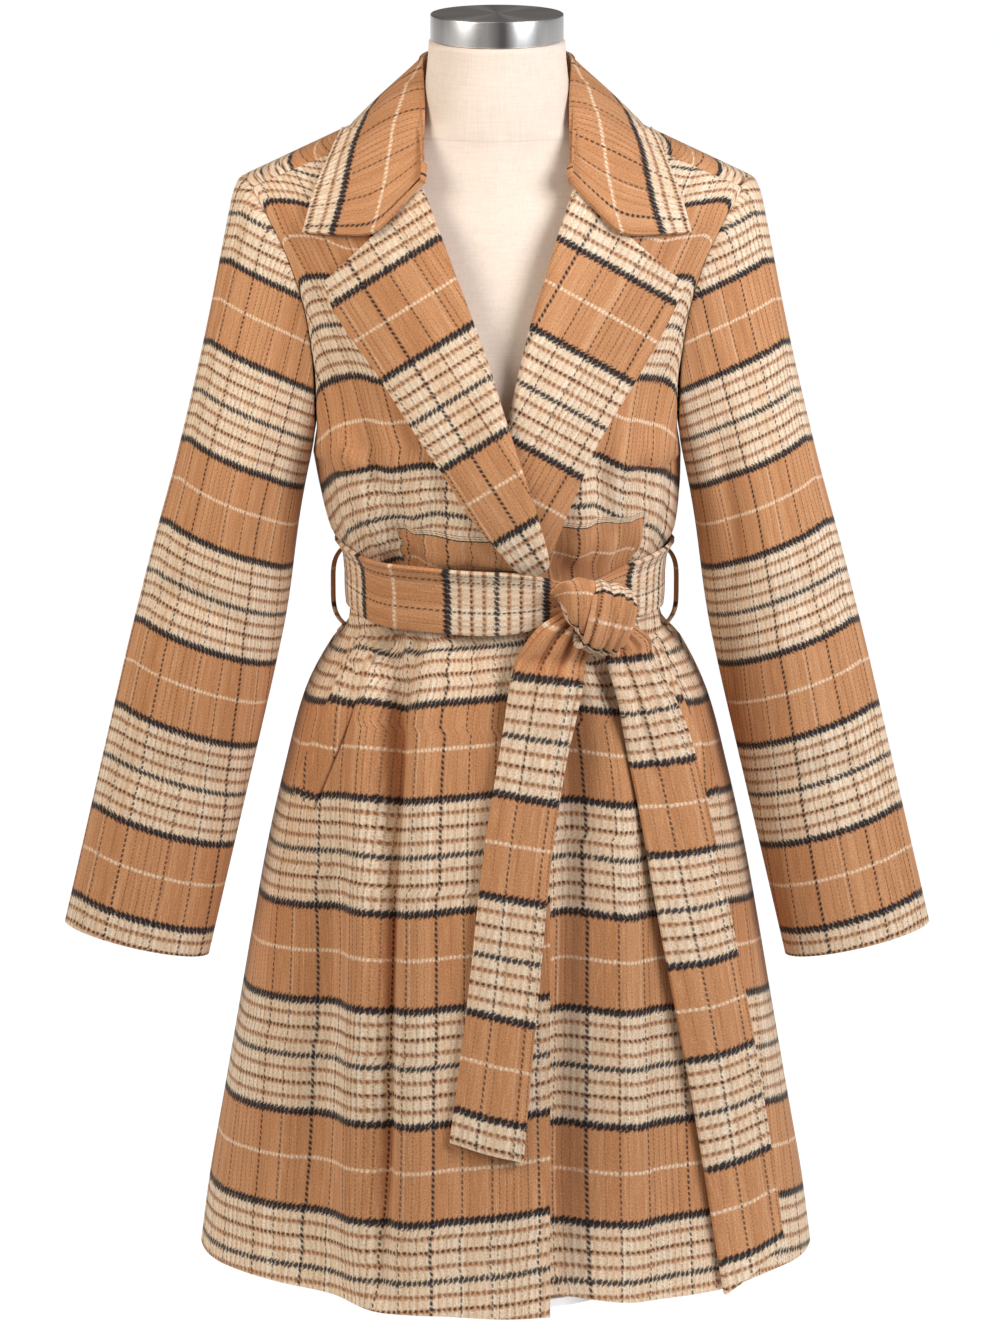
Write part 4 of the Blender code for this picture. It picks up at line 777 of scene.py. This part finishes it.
def knot(looks):
    base, out, along, over = knot_axes()
    centre = Vector(base + out * (KNOT_HALF[1] + KNOT_TURN_WALL + KNOT_STAND) + along * KNOT_SHIFT)

    def outward(spot):
        return (spot - centre).normalized()

    spin, tilt = np.broadcast_arrays(column(3.0, 177.0, 81), row(0.0, RING, 97))
    ends = np.sin(np.radians(spin)) ** 0.5
    low_side = 0.3 + 0.7 * np.sin(np.radians(tilt / 2)) ** 2
    folds = CORE_FOLD * (np.abs(np.cos(np.pi * spin / CORE_FOLD_STEP)) - 0.6) * ends * low_side
    droop = CORE_DROOP * (1.0 - soft(spin / 55.0))
    points = knot_place(spin, tilt, folds - CORE_SINK, droop, CORE_SHIFT, CORE_SHEAR)
    uv = together(spin / 180.0 * 0.085, 0.066 - tilt / RING * 0.15)
    core = cloth("coat_knot_core", ["belt_knot_core"], points, uv, 0.0, looks, outward, closed=True)
    close_ends(core)
    share, tilt = np.broadcast_arrays(column(0.0, 1.0, 57), row(0.0, RING, 121))
    front_side = 0.5 + 0.5 * np.sin(np.radians(tilt))
    low_side = 0.5 - 0.5 * np.cos(np.radians(tilt))
    first, last = 74.0 + 6.0 * low_side, 157.0 - 10.0 * low_side
    spin = first + (last - first) * share
    ridges = np.abs(np.cos(np.pi * (share * TURN_FOLDS + 0.3 + 0.2 * np.cos(np.radians(tilt))))) - 0.6
    ridges = TURN_FOLD * ridges * (0.25 + 0.75 * front_side)
    lift = SEWN + KNOT_TURN_WALL + ridges + TURN_CROWN * np.sin(np.pi * share) - TURN_SINK
    points = knot_place(spin, tilt, lift, 0.0)
    uv = together(share * 0.048 + 0.044, CAMEL_BAND * (1.0 - (tilt - 46.0) / 98.0))
    turn = cloth("coat_knot_turn", ["belt_knot_turn"], points, uv, KNOT_TURN_WALL - 0.001, looks, outward,
                 closed=True, edge=0.0016)
    return core, turn


def close_ends(piece):
    """Ends of a tube closed."""
    bm = bmesh.new()
    bm.from_mesh(piece.data)
    bmesh.ops.holes_fill(bm, edges=[e for e in bm.edges if e.is_boundary], sides=0)
    bmesh.ops.recalc_face_normals(bm, faces=bm.faces)
    for f in bm.faces:
        f.smooth = True
    bm.to_mesh(piece.data)
    bm.free()


TAIL_GATHER, TAIL_GATHER_RUN, TAIL_PLEATS, TAIL_WARP = 0.5, 0.19, 1.5, 0.03
TAIL_CROWN, TAIL_WAVE, TAIL_STEP = 0.0008, 0.0012, 0.02


def tail(name, node, table, slant, looks, run):
    """A belt end; run is cloth at its end, cloth for each metre up, lean, and bunching at the knot."""
    foot, rate, lean, bunch = run
    lengths = np.concatenate(([0.0], np.cumsum(np.hypot(np.diff(table[:, 0]), np.diff(table[:, 1])))))
    keyed = np.column_stack((lengths / lengths[-1], table))
    share, u = column(0.0, 1.0, 140), row(-1.0, 1.0, 41)

    def middle(at):
        return together(curve(keyed, at, 1), curve(keyed, at, 2))

    mid = middle(share)
    run_dir = unit(middle(np.minimum(share + TAIL_STEP, 1.0)) - middle(np.maximum(share - TAIL_STEP, 0.0)))
    half = curve(keyed, share, 3)
    side = np.stack((-run_dir[..., 1], run_dir[..., 0]), -1)
    spot = mid + side * (u * half)[..., None] + run_dir * (u * slant * share)[..., None]
    rolls = np.abs(np.cos(np.pi * TAIL_PLEATS * (u + 0.06 * np.sin(6.0 * share)))) - 0.6
    rolls = rolls * np.sqrt(np.maximum(1.0 - u ** 4, 0.0))
    gather = TAIL_GATHER * half * bell(share, 0.0, TAIL_GATHER_RUN) * rolls
    lift = curve(keyed, share, 4) + gather + TAIL_CROWN * np.cos(np.pi * u * 1.2) * soft(share / 0.2)
    lift = lift + TAIL_WAVE * np.sin(7.0 * share + 1.5 * u) * soft(share / 0.3)
    points = on_front(spot[..., 0], spot[..., 1], lift)
    level = on_front(spot[..., 0], spot[..., 1], 0.0 * lift)[..., 2]
    points[..., 2] = level + (points[..., 2] - level) * soft(share / 0.35)
    up = foot + rate * lengths[-1] * (1.0 - share) + lean * u + (bunch - 0.003 * u) * bell(share, 0.0, 0.18)
    uv = together(u * BELT_HALF + TAIL_WARP, up)
    return cloth(name, [node], points, uv, BELT_WALL - 0.0004, looks, to_front, edge=0.0013)


def welt(name, node, side, looks, uv_of):
    start, end = np.array(WELT_TOP), np.array(WELT_END)
    run_dir = unit(end - start)
    across = np.array((-run_dir[1], run_dir[0]))
    share, u = column(0.0, 1.0, 60), row(-1.0, 1.0, 17)
    spot = start + (end - start) * share[..., None] + across * (u * WELT_HALF)[..., None]
    x = (-spot[..., 0] if side == "right" else spot[..., 0]) + curve(SECTIONS, spot[..., 1], 4)
    lip = WELT_LIP * soft((u + 1.0) / 2.0) * np.sin(np.pi * share) ** 0.5
    points = on_front(x, spot[..., 1], SEWN + 0.6 * WELT_WALL + WELT_CROWN * (1.0 - u ** 4) + lip)
    uv = together(*uv_of(x, spot[..., 1]))
    return cloth(name, [node], points, uv, WELT_WALL, looks, to_front, edge=0.001)


def loop(name, node, out, looks):
    rise, ring = column(-1.0, 1.0, 61), row(0.0, 2.0 * np.pi, 25)
    z = BELT_Z + rise * LOOP_REACH
    half, mid = curve(SECTIONS, z, 1), curve(SECTIONS, z, 4)
    bow = LOOP_OUT * (1.0 - np.abs(rise) ** 4)
    waist_half = float(curve(SECTIONS, BELT_Z, 1))
    side = np.maximum(half + LOOP_WALL + SEWN, waist_half + bow) - LOOP_WALL / 2
    points = together(mid + out * (side + LOOP_ROUND * np.sin(ring)), LOOP_HALF * np.cos(ring), z)
    uv = together(ring / (2 * np.pi) * 0.022, 0.02 + rise * 0.05)

    def outward(centre):
        row = int(np.argmin(np.abs(z[:, 0] - centre.z)))
        return Vector((centre.x - (mid[row, 0] + out * side[row, 0]), centre.y, 0.0)).normalized()

    piece = cloth(name, [node], points, uv, 0.0, looks, outward, closed=True)
    close_ends(piece)
    return piece


def turned(name, node, profile, segments, looks):
    """A turned piece: radius, height of its outline, spun about the axis."""
    bm = bmesh.new()
    verts = [bm.verts.new((r, 0.0, z)) for r, z in profile]
    edges = [bm.edges.new(pair) for pair in zip(verts, verts[1:])]
    bmesh.ops.spin(bm, geom=verts + edges, cent=(0, 0, 0), axis=(0, 0, 1), angle=2 * math.pi, steps=segments,
                   use_merge=True, use_duplicate=False)
    bmesh.ops.remove_doubles(bm, verts=bm.verts, dist=1e-6)
    bmesh.ops.recalc_face_normals(bm, faces=bm.faces)
    return riding(name, bm, [node], looks)


def rounded(r, z_low, z_high, edge):
    """Outline of a disc with rounded rims, from its lower to its upper middle."""
    turns = np.linspace(0.0, math.pi / 2, 6)
    low = [(r - edge + edge * math.sin(a), z_low + edge - edge * math.cos(a)) for a in turns]
    high = [(r - edge + edge * math.cos(a), z_high - edge + edge * math.sin(a)) for a in turns]
    inner = [0.0, r * 0.35, r * 0.7]
    return [(i, z_low) for i in inner] + low + high + [(i, z_high) for i in reversed(inner)]


def torso(looks):
    z = np.concatenate((column(FORM_FOOT_Z, FORM_ROUND_Z, 14), column(FORM_ROUND_Z, FORM_TOP_Z, 170)[1:]))
    a = row(0.0, 2.0 * np.pi, 121)
    half, ahead, behind, power = (curve(FORM, z, i) for i in (1, 2, 3, 4))
    depth = np.where(np.sin(a) < 0.0, ahead, behind)
    x, y = half * signed_power(np.cos(a), 2.0 / power), depth * signed_power(np.sin(a), 2.0 / power)
    points = together(x, y, z)
    face = np.where(y < 0.0, -1, 1)
    phi, level = on_face(x, z + 0.0 * a)
    n = coat_normal(face, phi, level)
    stand = ((points - coat_face(face, phi, level)) * n).sum(-1) + WALL + PRESS_ROOM
    near = soft((z - PRESS_LOW) / PRESS_RUN) * soft((PRESS_HIGH - z) / PRESS_RUN)
    near = near * soft((np.abs(x) - PRESS_OUT) / PRESS_RUN) * (np.abs(y) > 0.001)
    points = points - n * (near * np.maximum(stand, 0.0))[..., None]
    piece = cloth("form_torso", ["form_body"], points, together(a * 0.1, z), 0.0, looks, from_axis,
                  closed=True)
    close_ends(piece)
    return piece


# Materials
class Nodes:
    """Short way to write a material's nodes."""

    def __init__(self, name):
        self.material = bpy.data.materials.new(name)
        self.material.use_nodes = True
        self.tree = self.material.node_tree
        self.shader = self.tree.nodes["Principled BSDF"]

    def put(self, socket, value):
        if isinstance(value, bpy.types.NodeSocket):
            self.tree.links.new(value, socket)
        elif isinstance(value, tuple) and len(value) == 3 and socket.type == "RGBA":
            socket.default_value = (*value, 1.0)
        else:
            socket.default_value = value

    def node(self, kind, values, output=0, **settings):
        """A new node with its inputs, settings and one of its outputs."""
        made = self.tree.nodes.new("ShaderNode" + kind)
        for key, value in settings.items():
            setattr(made, key, value)
        for key, value in values.items():
            self.put(made.inputs[key], value)
        return made.outputs[output]

    def math(self, operation, a, b=0.0):
        return self.node("Math", {0: a, 1: b}, operation=operation)

    def add(self, a, b):
        return self.math("ADD", a, b)

    def times(self, a, b):
        return self.math("MULTIPLY", a, b)

    def most(self, a, b):
        return self.math("MAXIMUM", a, b)

    def mix(self, share, a, b):
        return self.node("Mix", {0: share, 6: a, 7: b}, 2, data_type="RGBA")

    def span(self, value, low, high, to_low=0.0, to_high=1.0):
        return self.node("MapRange", {0: value, 1: low, 2: high, 3: to_low, 4: to_high})

    def noise(self, vector, scale, detail=2.0, rough=0.5):
        values = {"Vector": vector, "Scale": scale, "Detail": detail, "Roughness": rough}
        return self.node("TexNoise", values, "Fac")

    def vector(self, x, y, z=0.0):
        return self.node("CombineXYZ", {0: x, 1: y, 2: z})

    def split(self, vector):
        return self.node("SeparateXYZ", {0: vector}, slice(3))

    def spot(self):
        """x, y, z on the piece."""
        return self.split(self.node("TexCoord", {}, "Object"))

    def stripes(self, place, repeat, lines, blur):
        """Mask of lines across a repeat: middle, width, strength."""
        total = None
        share = self.math("FRACT", self.times(place, 1.0 / repeat))
        for middle, width, strength in lines:
            off = self.math("FRACT", self.add(share, 0.5 - middle / repeat))
            off = self.math("ABSOLUTE", self.add(off, -0.5))
            edge = self.span(off, (width + blur) / 2 / repeat, (width - blur) / 2 / repeat, 0.0, strength)
            total = edge if total is None else self.most(total, edge)
        return total

    def pulse(self, place, repeat, duty, blur):
        """Dashes along a thread."""
        share = self.math("ABSOLUTE", self.add(self.math("FRACT", self.times(place, 1.0 / repeat)), -0.5))
        return self.span(share, duty / 2 + blur, duty / 2 - blur)

    def bump(self, height, strength, distance):
        values = {"Strength": strength, "Distance": distance, "Height": height}
        self.put(self.shader.inputs["Normal"], self.node("Bump", values))

    def finish(self, **values):
        for key, value in values.items():
            self.put(self.shader.inputs[key.replace("_", " ")], value)
        return self.material


def tone(r, g, b):
    """Display colour 0..255 as linear light."""
    return tuple((c / 255 / 12.92) if c <= 10 else ((c / 255 + 0.055) / 1.055) ** 2.4 for c in (r, g, b))


CAMEL, CAMEL_DEEP, CAMEL_PALE = tone(207, 151, 107), tone(191, 133, 89), tone(222, 174, 132)
CREAM, CREAM_TAN, PALE = tone(243, 225, 200), tone(218, 180, 142), tone(246, 222, 192)
BLACK, BROWN, BROWN_DEEP = tone(24, 27, 36), tone(172, 106, 54), tone(62, 42, 32)
CAMEL_BAND = 0.077                     # of the repeat, the rest is the cream band
CREAM_STEP = (REPEAT - CAMEL_BAND) / 8  # between the thin lines of the cream band
WARP_REPEAT = 0.132
# Warp threads: place in the repeat, width, strength
WARP_THIN = [(0.0535, 0.001, 1.0), (0.059, 0.001, 0.8), (0.0645, 0.001, 1.0), (0.07, 0.001, 0.7),
             (0.0755, 0.001, 1.0), (0.03, 0.0009, 0.7), (0.013, 0.0009, 0.6), (0.094, 0.0009, 0.6),
             (0.115, 0.0009, 0.8), (0.121, 0.0009, 0.6)]
WARP_PALE = [(0.1085, 0.0014, 0.45), (0.044, 0.0013, 0.25)]
WARP_BOLD = [(0.0, 0.0026, 0.92)]
WARP_FINE = [(0.024, 0.0014, 0.82), (0.048, 0.0015, 0.78), (0.084, 0.0018, 0.88), (0.106, 0.0013, 0.78)]
THIN_LINES = (1, 2, 3, 5, 6, 7)   # steps of the cream band with a thin line
DASH, DOT, STROKE, RIB, TWILL = 0.0044, 0.0046, 0.0041, 0.0057, 0.0019   # repeats along a thread


def wool_check():
    g = Nodes("wool_check")
    cloth_uv = g.node("UVMap", {}, uv_map="cloth")
    u, v, _ = g.split(cloth_uv)
    hair = g.noise(cloth_uv, 1000.0, 2.0, 0.6)
    wander = g.noise(cloth_uv, 240.0, 1.0, 0.5)
    fuzz = g.add(g.times(g.add(hair, -0.5), 0.002), g.times(g.add(wander, -0.5), 0.002))
    stroke = g.math("FRACT", g.add(g.times(u, 1.0 / STROKE), g.times(wander, 1.5)))
    slant = g.times(g.add(stroke, -0.5), -0.0024)
    v_fuzzy, u_fuzzy = g.add(v, fuzz), g.add(u, g.times(fuzz, 0.6))
    v_stroke = g.add(v_fuzzy, slant)
    # bands, with fibres along the warp
    middle_cream = CAMEL_BAND + (REPEAT - CAMEL_BAND) / 2
    band = g.stripes(v_fuzzy, REPEAT, [(middle_cream, REPEAT - CAMEL_BAND, 1.0)], 0.0018)
    streak = g.noise(g.vector(u, g.times(v, 0.06)), 700.0, 3.0, 0.65)
    column = g.noise(g.vector(u, g.times(v, 0.02)), 70.0, 2.0, 0.6)
    camel = g.mix(g.span(column, 0.4, 0.66), CAMEL_DEEP, CAMEL)
    camel = g.mix(g.span(streak, 0.52, 0.72, 0.0, 0.4), camel, CAMEL_PALE)
    ribs = g.pulse(g.add(u_fuzzy, g.times(column, 0.004)), RIB, 0.5, 0.22)
    cream = g.mix(g.add(g.times(ribs, 0.45), g.span(column, 0.62, 0.4, 0.0, 0.4)), CREAM, CREAM_TAN)
    cream = g.mix(g.span(streak, 0.5, 0.34, 0.0, 0.55), cream, CREAM_TAN)
    colour = g.mix(band, camel, cream)
    # thin warp pinstripes and pale warp threads
    thin = g.stripes(u_fuzzy, WARP_REPEAT, WARP_THIN, 0.0008)
    thin = g.times(thin, g.times(g.pulse(g.add(v, g.times(u, 0.5)), 0.0037, 0.7, 0.15), 0.58))
    colour = g.mix(thin, colour, BROWN_DEEP)
    pale_warp = g.stripes(u_fuzzy, WARP_REPEAT, WARP_PALE, 0.0009)
    colour = g.mix(g.times(pale_warp, g.span(hair, 0.35, 0.6)), colour, PALE)
    # lines across the cream band: brown dashes with darker threads over them
    dash = g.most(g.pulse(g.add(u, g.times(fuzz, 1.2)), DASH, 0.7, 0.16), 0.42)
    dark_dash = g.pulse(g.add(g.add(u, 0.0008), g.times(fuzz, 1.4)), DASH, 0.56, 0.14)
    v_thin = g.add(v_fuzzy, g.times(slant, 0.3))
    brown_lines = [(CAMEL_BAND + CREAM_STEP * k, 0.0038, 1.0) for k in THIN_LINES]
    dark_lines = [(CAMEL_BAND + CREAM_STEP * k + 0.0006, 0.0021, 0.95 if k in (2, 6) else 0.48)
                  for k in THIN_LINES]
    brown = g.times(g.stripes(v_thin, REPEAT, brown_lines, 0.0018), g.times(dash, 0.85))
    colour = g.mix(brown, colour, BROWN)
    colour = g.mix(g.times(g.stripes(v_thin, REPEAT, dark_lines, 0.0014), dark_dash), colour, BROWN_DEEP)
    # pale line in the camel band
    pale = g.stripes(v_thin, REPEAT, [(CAMEL_BAND * 0.525, 0.0027, 0.85)], 0.0014)
    pale_dash = g.most(g.pulse(g.add(u, fuzz), 0.0036, 0.6, 0.2), 0.35)
    colour = g.mix(g.times(pale, pale_dash), colour, PALE)
    # dotted black warp threads
    dot = g.pulse(g.add(g.add(v, g.times(u, 0.55)), g.times(fuzz, 0.6)), DOT, 0.66, 0.12)
    bold = g.times(g.stripes(u_fuzzy, WARP_REPEAT, WARP_BOLD, 0.0011), g.most(dot, 0.3))
    fine = g.times(g.stripes(u_fuzzy, WARP_REPEAT, WARP_FINE, 0.0009), dot)
    colour = g.mix(g.most(bold, fine), colour, BLACK)
    # heavy black lines at the bands' edges and the lighter one in the cream band
    gap = g.math("ABSOLUTE", g.add(stroke, -0.5))
    heavy = g.stripes(v_stroke, REPEAT, [(0.0, 0.0062, 0.96), (CAMEL_BAND, 0.0062, 0.96)], 0.0018)
    mid = g.stripes(v_stroke, REPEAT, [(middle_cream, 0.0044, 0.92)], 0.0018)
    heavy = g.times(heavy, g.span(gap, 0.5, 0.36, 0.66, 1.0))
    mid = g.times(mid, g.span(gap, 0.49, 0.32, 0.34, 1.0))
    colour = g.mix(g.most(heavy, mid), colour, BLACK)
    # heathered tone and nap
    speckle = g.noise(cloth_uv, 820.0, 2.0, 0.6)
    value = g.add(g.span(speckle, 0.3, 0.7, -0.24, 0.24), g.span(streak, 0.3, 0.7, 0.92, 1.08))
    tint = g.node("HueSaturation", {"Value": value, "Color": colour})
    twill = g.math("SINE", g.times(g.add(u, v), 2.0 * math.pi / TWILL))
    height = g.add(g.add(g.times(hair, 0.8), g.times(twill, 0.06)), g.times(streak, 0.5))
    g.bump(height, 0.4, 0.0006)
    return g.finish(Base_Color=tint, Roughness=0.92, Sheen_Weight=0.12, Sheen_Roughness=0.45,
                    Sheen_Tint=(1.0, 0.93, 0.84, 1.0), Specular_IOR_Level=0.15)


def linen():
    g = Nodes("form_linen")
    x, y, z = g.spot()
    warp = g.noise(g.vector(x, y, g.times(z, 0.06)), 700.0, 2.0, 0.5)
    weft = g.noise(g.vector(g.times(x, 0.08), g.times(y, 0.08), z), 800.0, 2.0, 0.5)
    weave = g.add(g.times(warp, 0.5), g.times(weft, 0.5))
    colour = g.mix(g.span(weave, 0.3, 0.7), tone(236, 217, 199), tone(247, 232, 217))
    seam = g.math("ABSOLUTE", g.add(z, -NECK_SEAM_Z))
    line = g.span(seam, 0.0012, 0.0003, 0.0, 0.16)
    colour = g.mix(line, colour, tone(186, 160, 138))
    g.bump(g.add(weave, g.times(line, -1.2)), 0.12, 0.0004)
    return g.finish(Base_Color=colour, Roughness=0.85, Sheen_Weight=0.06, Specular_IOR_Level=0.25)


def brushed_steel():
    g = Nodes("brushed_steel")
    x, y, z = g.spot()
    turn = g.times(g.math("ARCTAN2", x, g.times(y, -1.0)), 180.0 / math.pi)
    radius = g.math("SQRT", g.add(g.times(x, x), g.times(y, y)))
    lines = g.noise(g.vector(g.times(turn, 0.0008), g.times(radius, 1.0), z), 2600.0, 3.0, 0.6)
    # painted reflection: light and dark bands painted into the base colour around the axis, stronger on the
    # side than on the top, standing in for surroundings mirrored in the brushed metal
    painted_highlight_bands = g.stripes(turn, 180.0, [(149.0, 17.0, 1.0), (22.0, 19.0, 1.0)], 12.0)
    painted_dark_bands = g.stripes(turn, 180.0, [(5.0, 15.0, 1.0), (118.0, 26.0, 0.6), (66.0, 40.0, 0.35)], 12.0)
    side = g.span(radius, CAP_RADIUS - 0.0016, CAP_RADIUS - 0.0004)
    colour = g.mix(g.span(lines, 0.3, 0.7), tone(176, 174, 172), tone(206, 204, 202))
    # painted highlight: near-white reflection bands
    colour = g.mix(g.times(painted_highlight_bands, g.span(side, 0.0, 1.0, 0.35, 1.0)), colour, tone(250, 250, 250))
    # painted shade: dark reflection bands
    colour = g.mix(g.times(painted_dark_bands, g.span(side, 0.0, 1.0, 0.3, 0.85)), colour, tone(88, 82, 80))
    g.bump(lines, 0.05, 0.0002)
    return g.finish(Base_Color=colour, Metallic=0.75, Roughness=g.span(lines, 0.3, 0.7, 0.26, 0.38))


wool, cover, steel = wool_check(), linen(), brushed_steel()

# The coat and its form
coat_back = back(wool)
front_right = front("coat_front_right", "front_right", "right", wool)
front_left = front("coat_front_left", "front_left", "left", wool)
sleeve_right = sleeve("coat_sleeve_right", "sleeve_right", False, wool, 0.115)
sleeve_left = sleeve("coat_sleeve_left", "sleeve_left", True, wool, 0.08)
lapel_right = lapel("coat_lapel_right", "lapel_right", "right", LAPEL_RIGHT, wool)
lapel_left = lapel("coat_lapel_left", "lapel_left", "left", LAPEL_LEFT, wool)
coat_collar = collar(wool, (0.104, -1.0))
coat_belt = belt(wool)
knot_core, knot_turn = knot(wool)
tail_short = tail("coat_tail_short", "belt_tail_short", TAIL_SHORT, 0.004, wool, (-0.027, 1.0, 0.0, 0.001))
tail_long = tail("coat_tail_long", "belt_tail_long", TAIL_LONG, -0.01, wool, (-0.016, 1.03, 0.011, 0.005))


def welt_cloth(x, z):
    return (x - MIDDLE_X) * fan(z), (z - HEM_Z) * 1.02 - 0.058


welt_right = welt("coat_welt_right", "pocket_welt_right", "right", wool, welt_cloth)
welt_left = welt("coat_welt_left", "pocket_welt_left", "left", wool, welt_cloth)
loop_right = loop("coat_loop_right", "belt_loop_right", -1.0, wool)
loop_left = loop("coat_loop_left", "belt_loop_left", 1.0, wool)
form_torso = torso(cover)
turned("form_neck_cap", "form_cap", rounded(CAP_RADIUS, *CAP_Z, 0.0014), 128, steel)
pole_outline = rounded(POLE_RADIUS, BASE_HEIGHT + 2 * SEAM, FORM_FOOT_Z - 2 * SEAM, 0.0006)
turned("form_pole", "stand_pole", pole_outline, 48, steel)
foot_outline = rounded(BASE_RADIUS, 0.0, BASE_HEIGHT, 0.0025)
turned("form_foot", "stand_base", foot_outline, 128, steel)


# Floor, light and camera
FLOOR_HALF, FLOOR_DROP = 30.0, 0.0005
FLOOR_GLOW = (-0.42, -0.18, 0.22, 1.0)   # y where it starts to grow, y where it is full, least, most
WORLD_COLOUR, WORLD_POWER = (1.0, 0.92, 0.84, 1.0), 0.09
AIM, DISTANCE, RISE = Vector((0.0023, 0.0, 0.4907)), 4.9, math.radians(13.5)
LENS, SENSOR = 169.0, 36.0

floor_mesh = bpy.data.meshes.new("floor")
bm = bmesh.new()
bmesh.ops.create_grid(bm, x_segments=2, y_segments=2, size=FLOOR_HALF)
bm.to_mesh(floor_mesh)
bm.free()
floor = placed("floor", floor_mesh)
floor.location.z = -FLOOR_DROP
pale_floor = Nodes("pale_floor")
glow = pale_floor.span(pale_floor.spot()[1], *FLOOR_GLOW)
floor_mesh.materials.append(pale_floor.finish(Base_Color=(0.12, 0.12, 0.12), Roughness=0.9,
                                              Emission_Color=(1.0, 1.0, 1.0, 1.0), Emission_Strength=glow))

world = bpy.data.worlds.new("studio")
bpy.context.scene.world = world
world.use_nodes = True
world.node_tree.nodes["Background"].inputs[0].default_value = WORLD_COLOUR
world.node_tree.nodes["Background"].inputs[1].default_value = WORLD_POWER


def lamp(name, place, aim, size, power, colour):
    light = bpy.data.lights.new(name, "AREA")
    light.color = colour
    light.shape, light.size, light.size_y, light.energy = "RECTANGLE", size[0], size[1], power
    lit = placed(name, light)
    lit.location = place
    lit.rotation_euler = (Vector(aim) - Vector(place)).to_track_quat("-Z", "Y").to_euler()


lamp("key", (1.2, -1.1, 1.45), (0.0, 0.0, 0.65), (0.8, 0.8), 28.0, (0.98, 1.0, 1.05))
lamp("fill", (-1.25, -0.9, 1.45), (0.0, 0.0, 0.65), (0.8, 0.8), 17.5, (1.0, 0.94, 0.87))
lamp("top", (0.0, -0.3, 2.2), (0.0, 0.0, 0.6), (0.9, 0.7), 3.0, (1.0, 0.95, 0.9))

view = bpy.data.cameras.new("photo_view")
view.sensor_fit, view.sensor_height, view.lens = "VERTICAL", SENSOR, LENS
camera = placed("photo_view", view)
camera.location = AIM + Vector((0.0, -DISTANCE * math.cos(RISE), DISTANCE * math.sin(RISE)))
camera.rotation_euler = (AIM - camera.location).to_track_quat("-Z", "Y").to_euler()
bpy.context.scene.camera = camera
bpy.context.scene.view_settings.view_transform = "Standard"
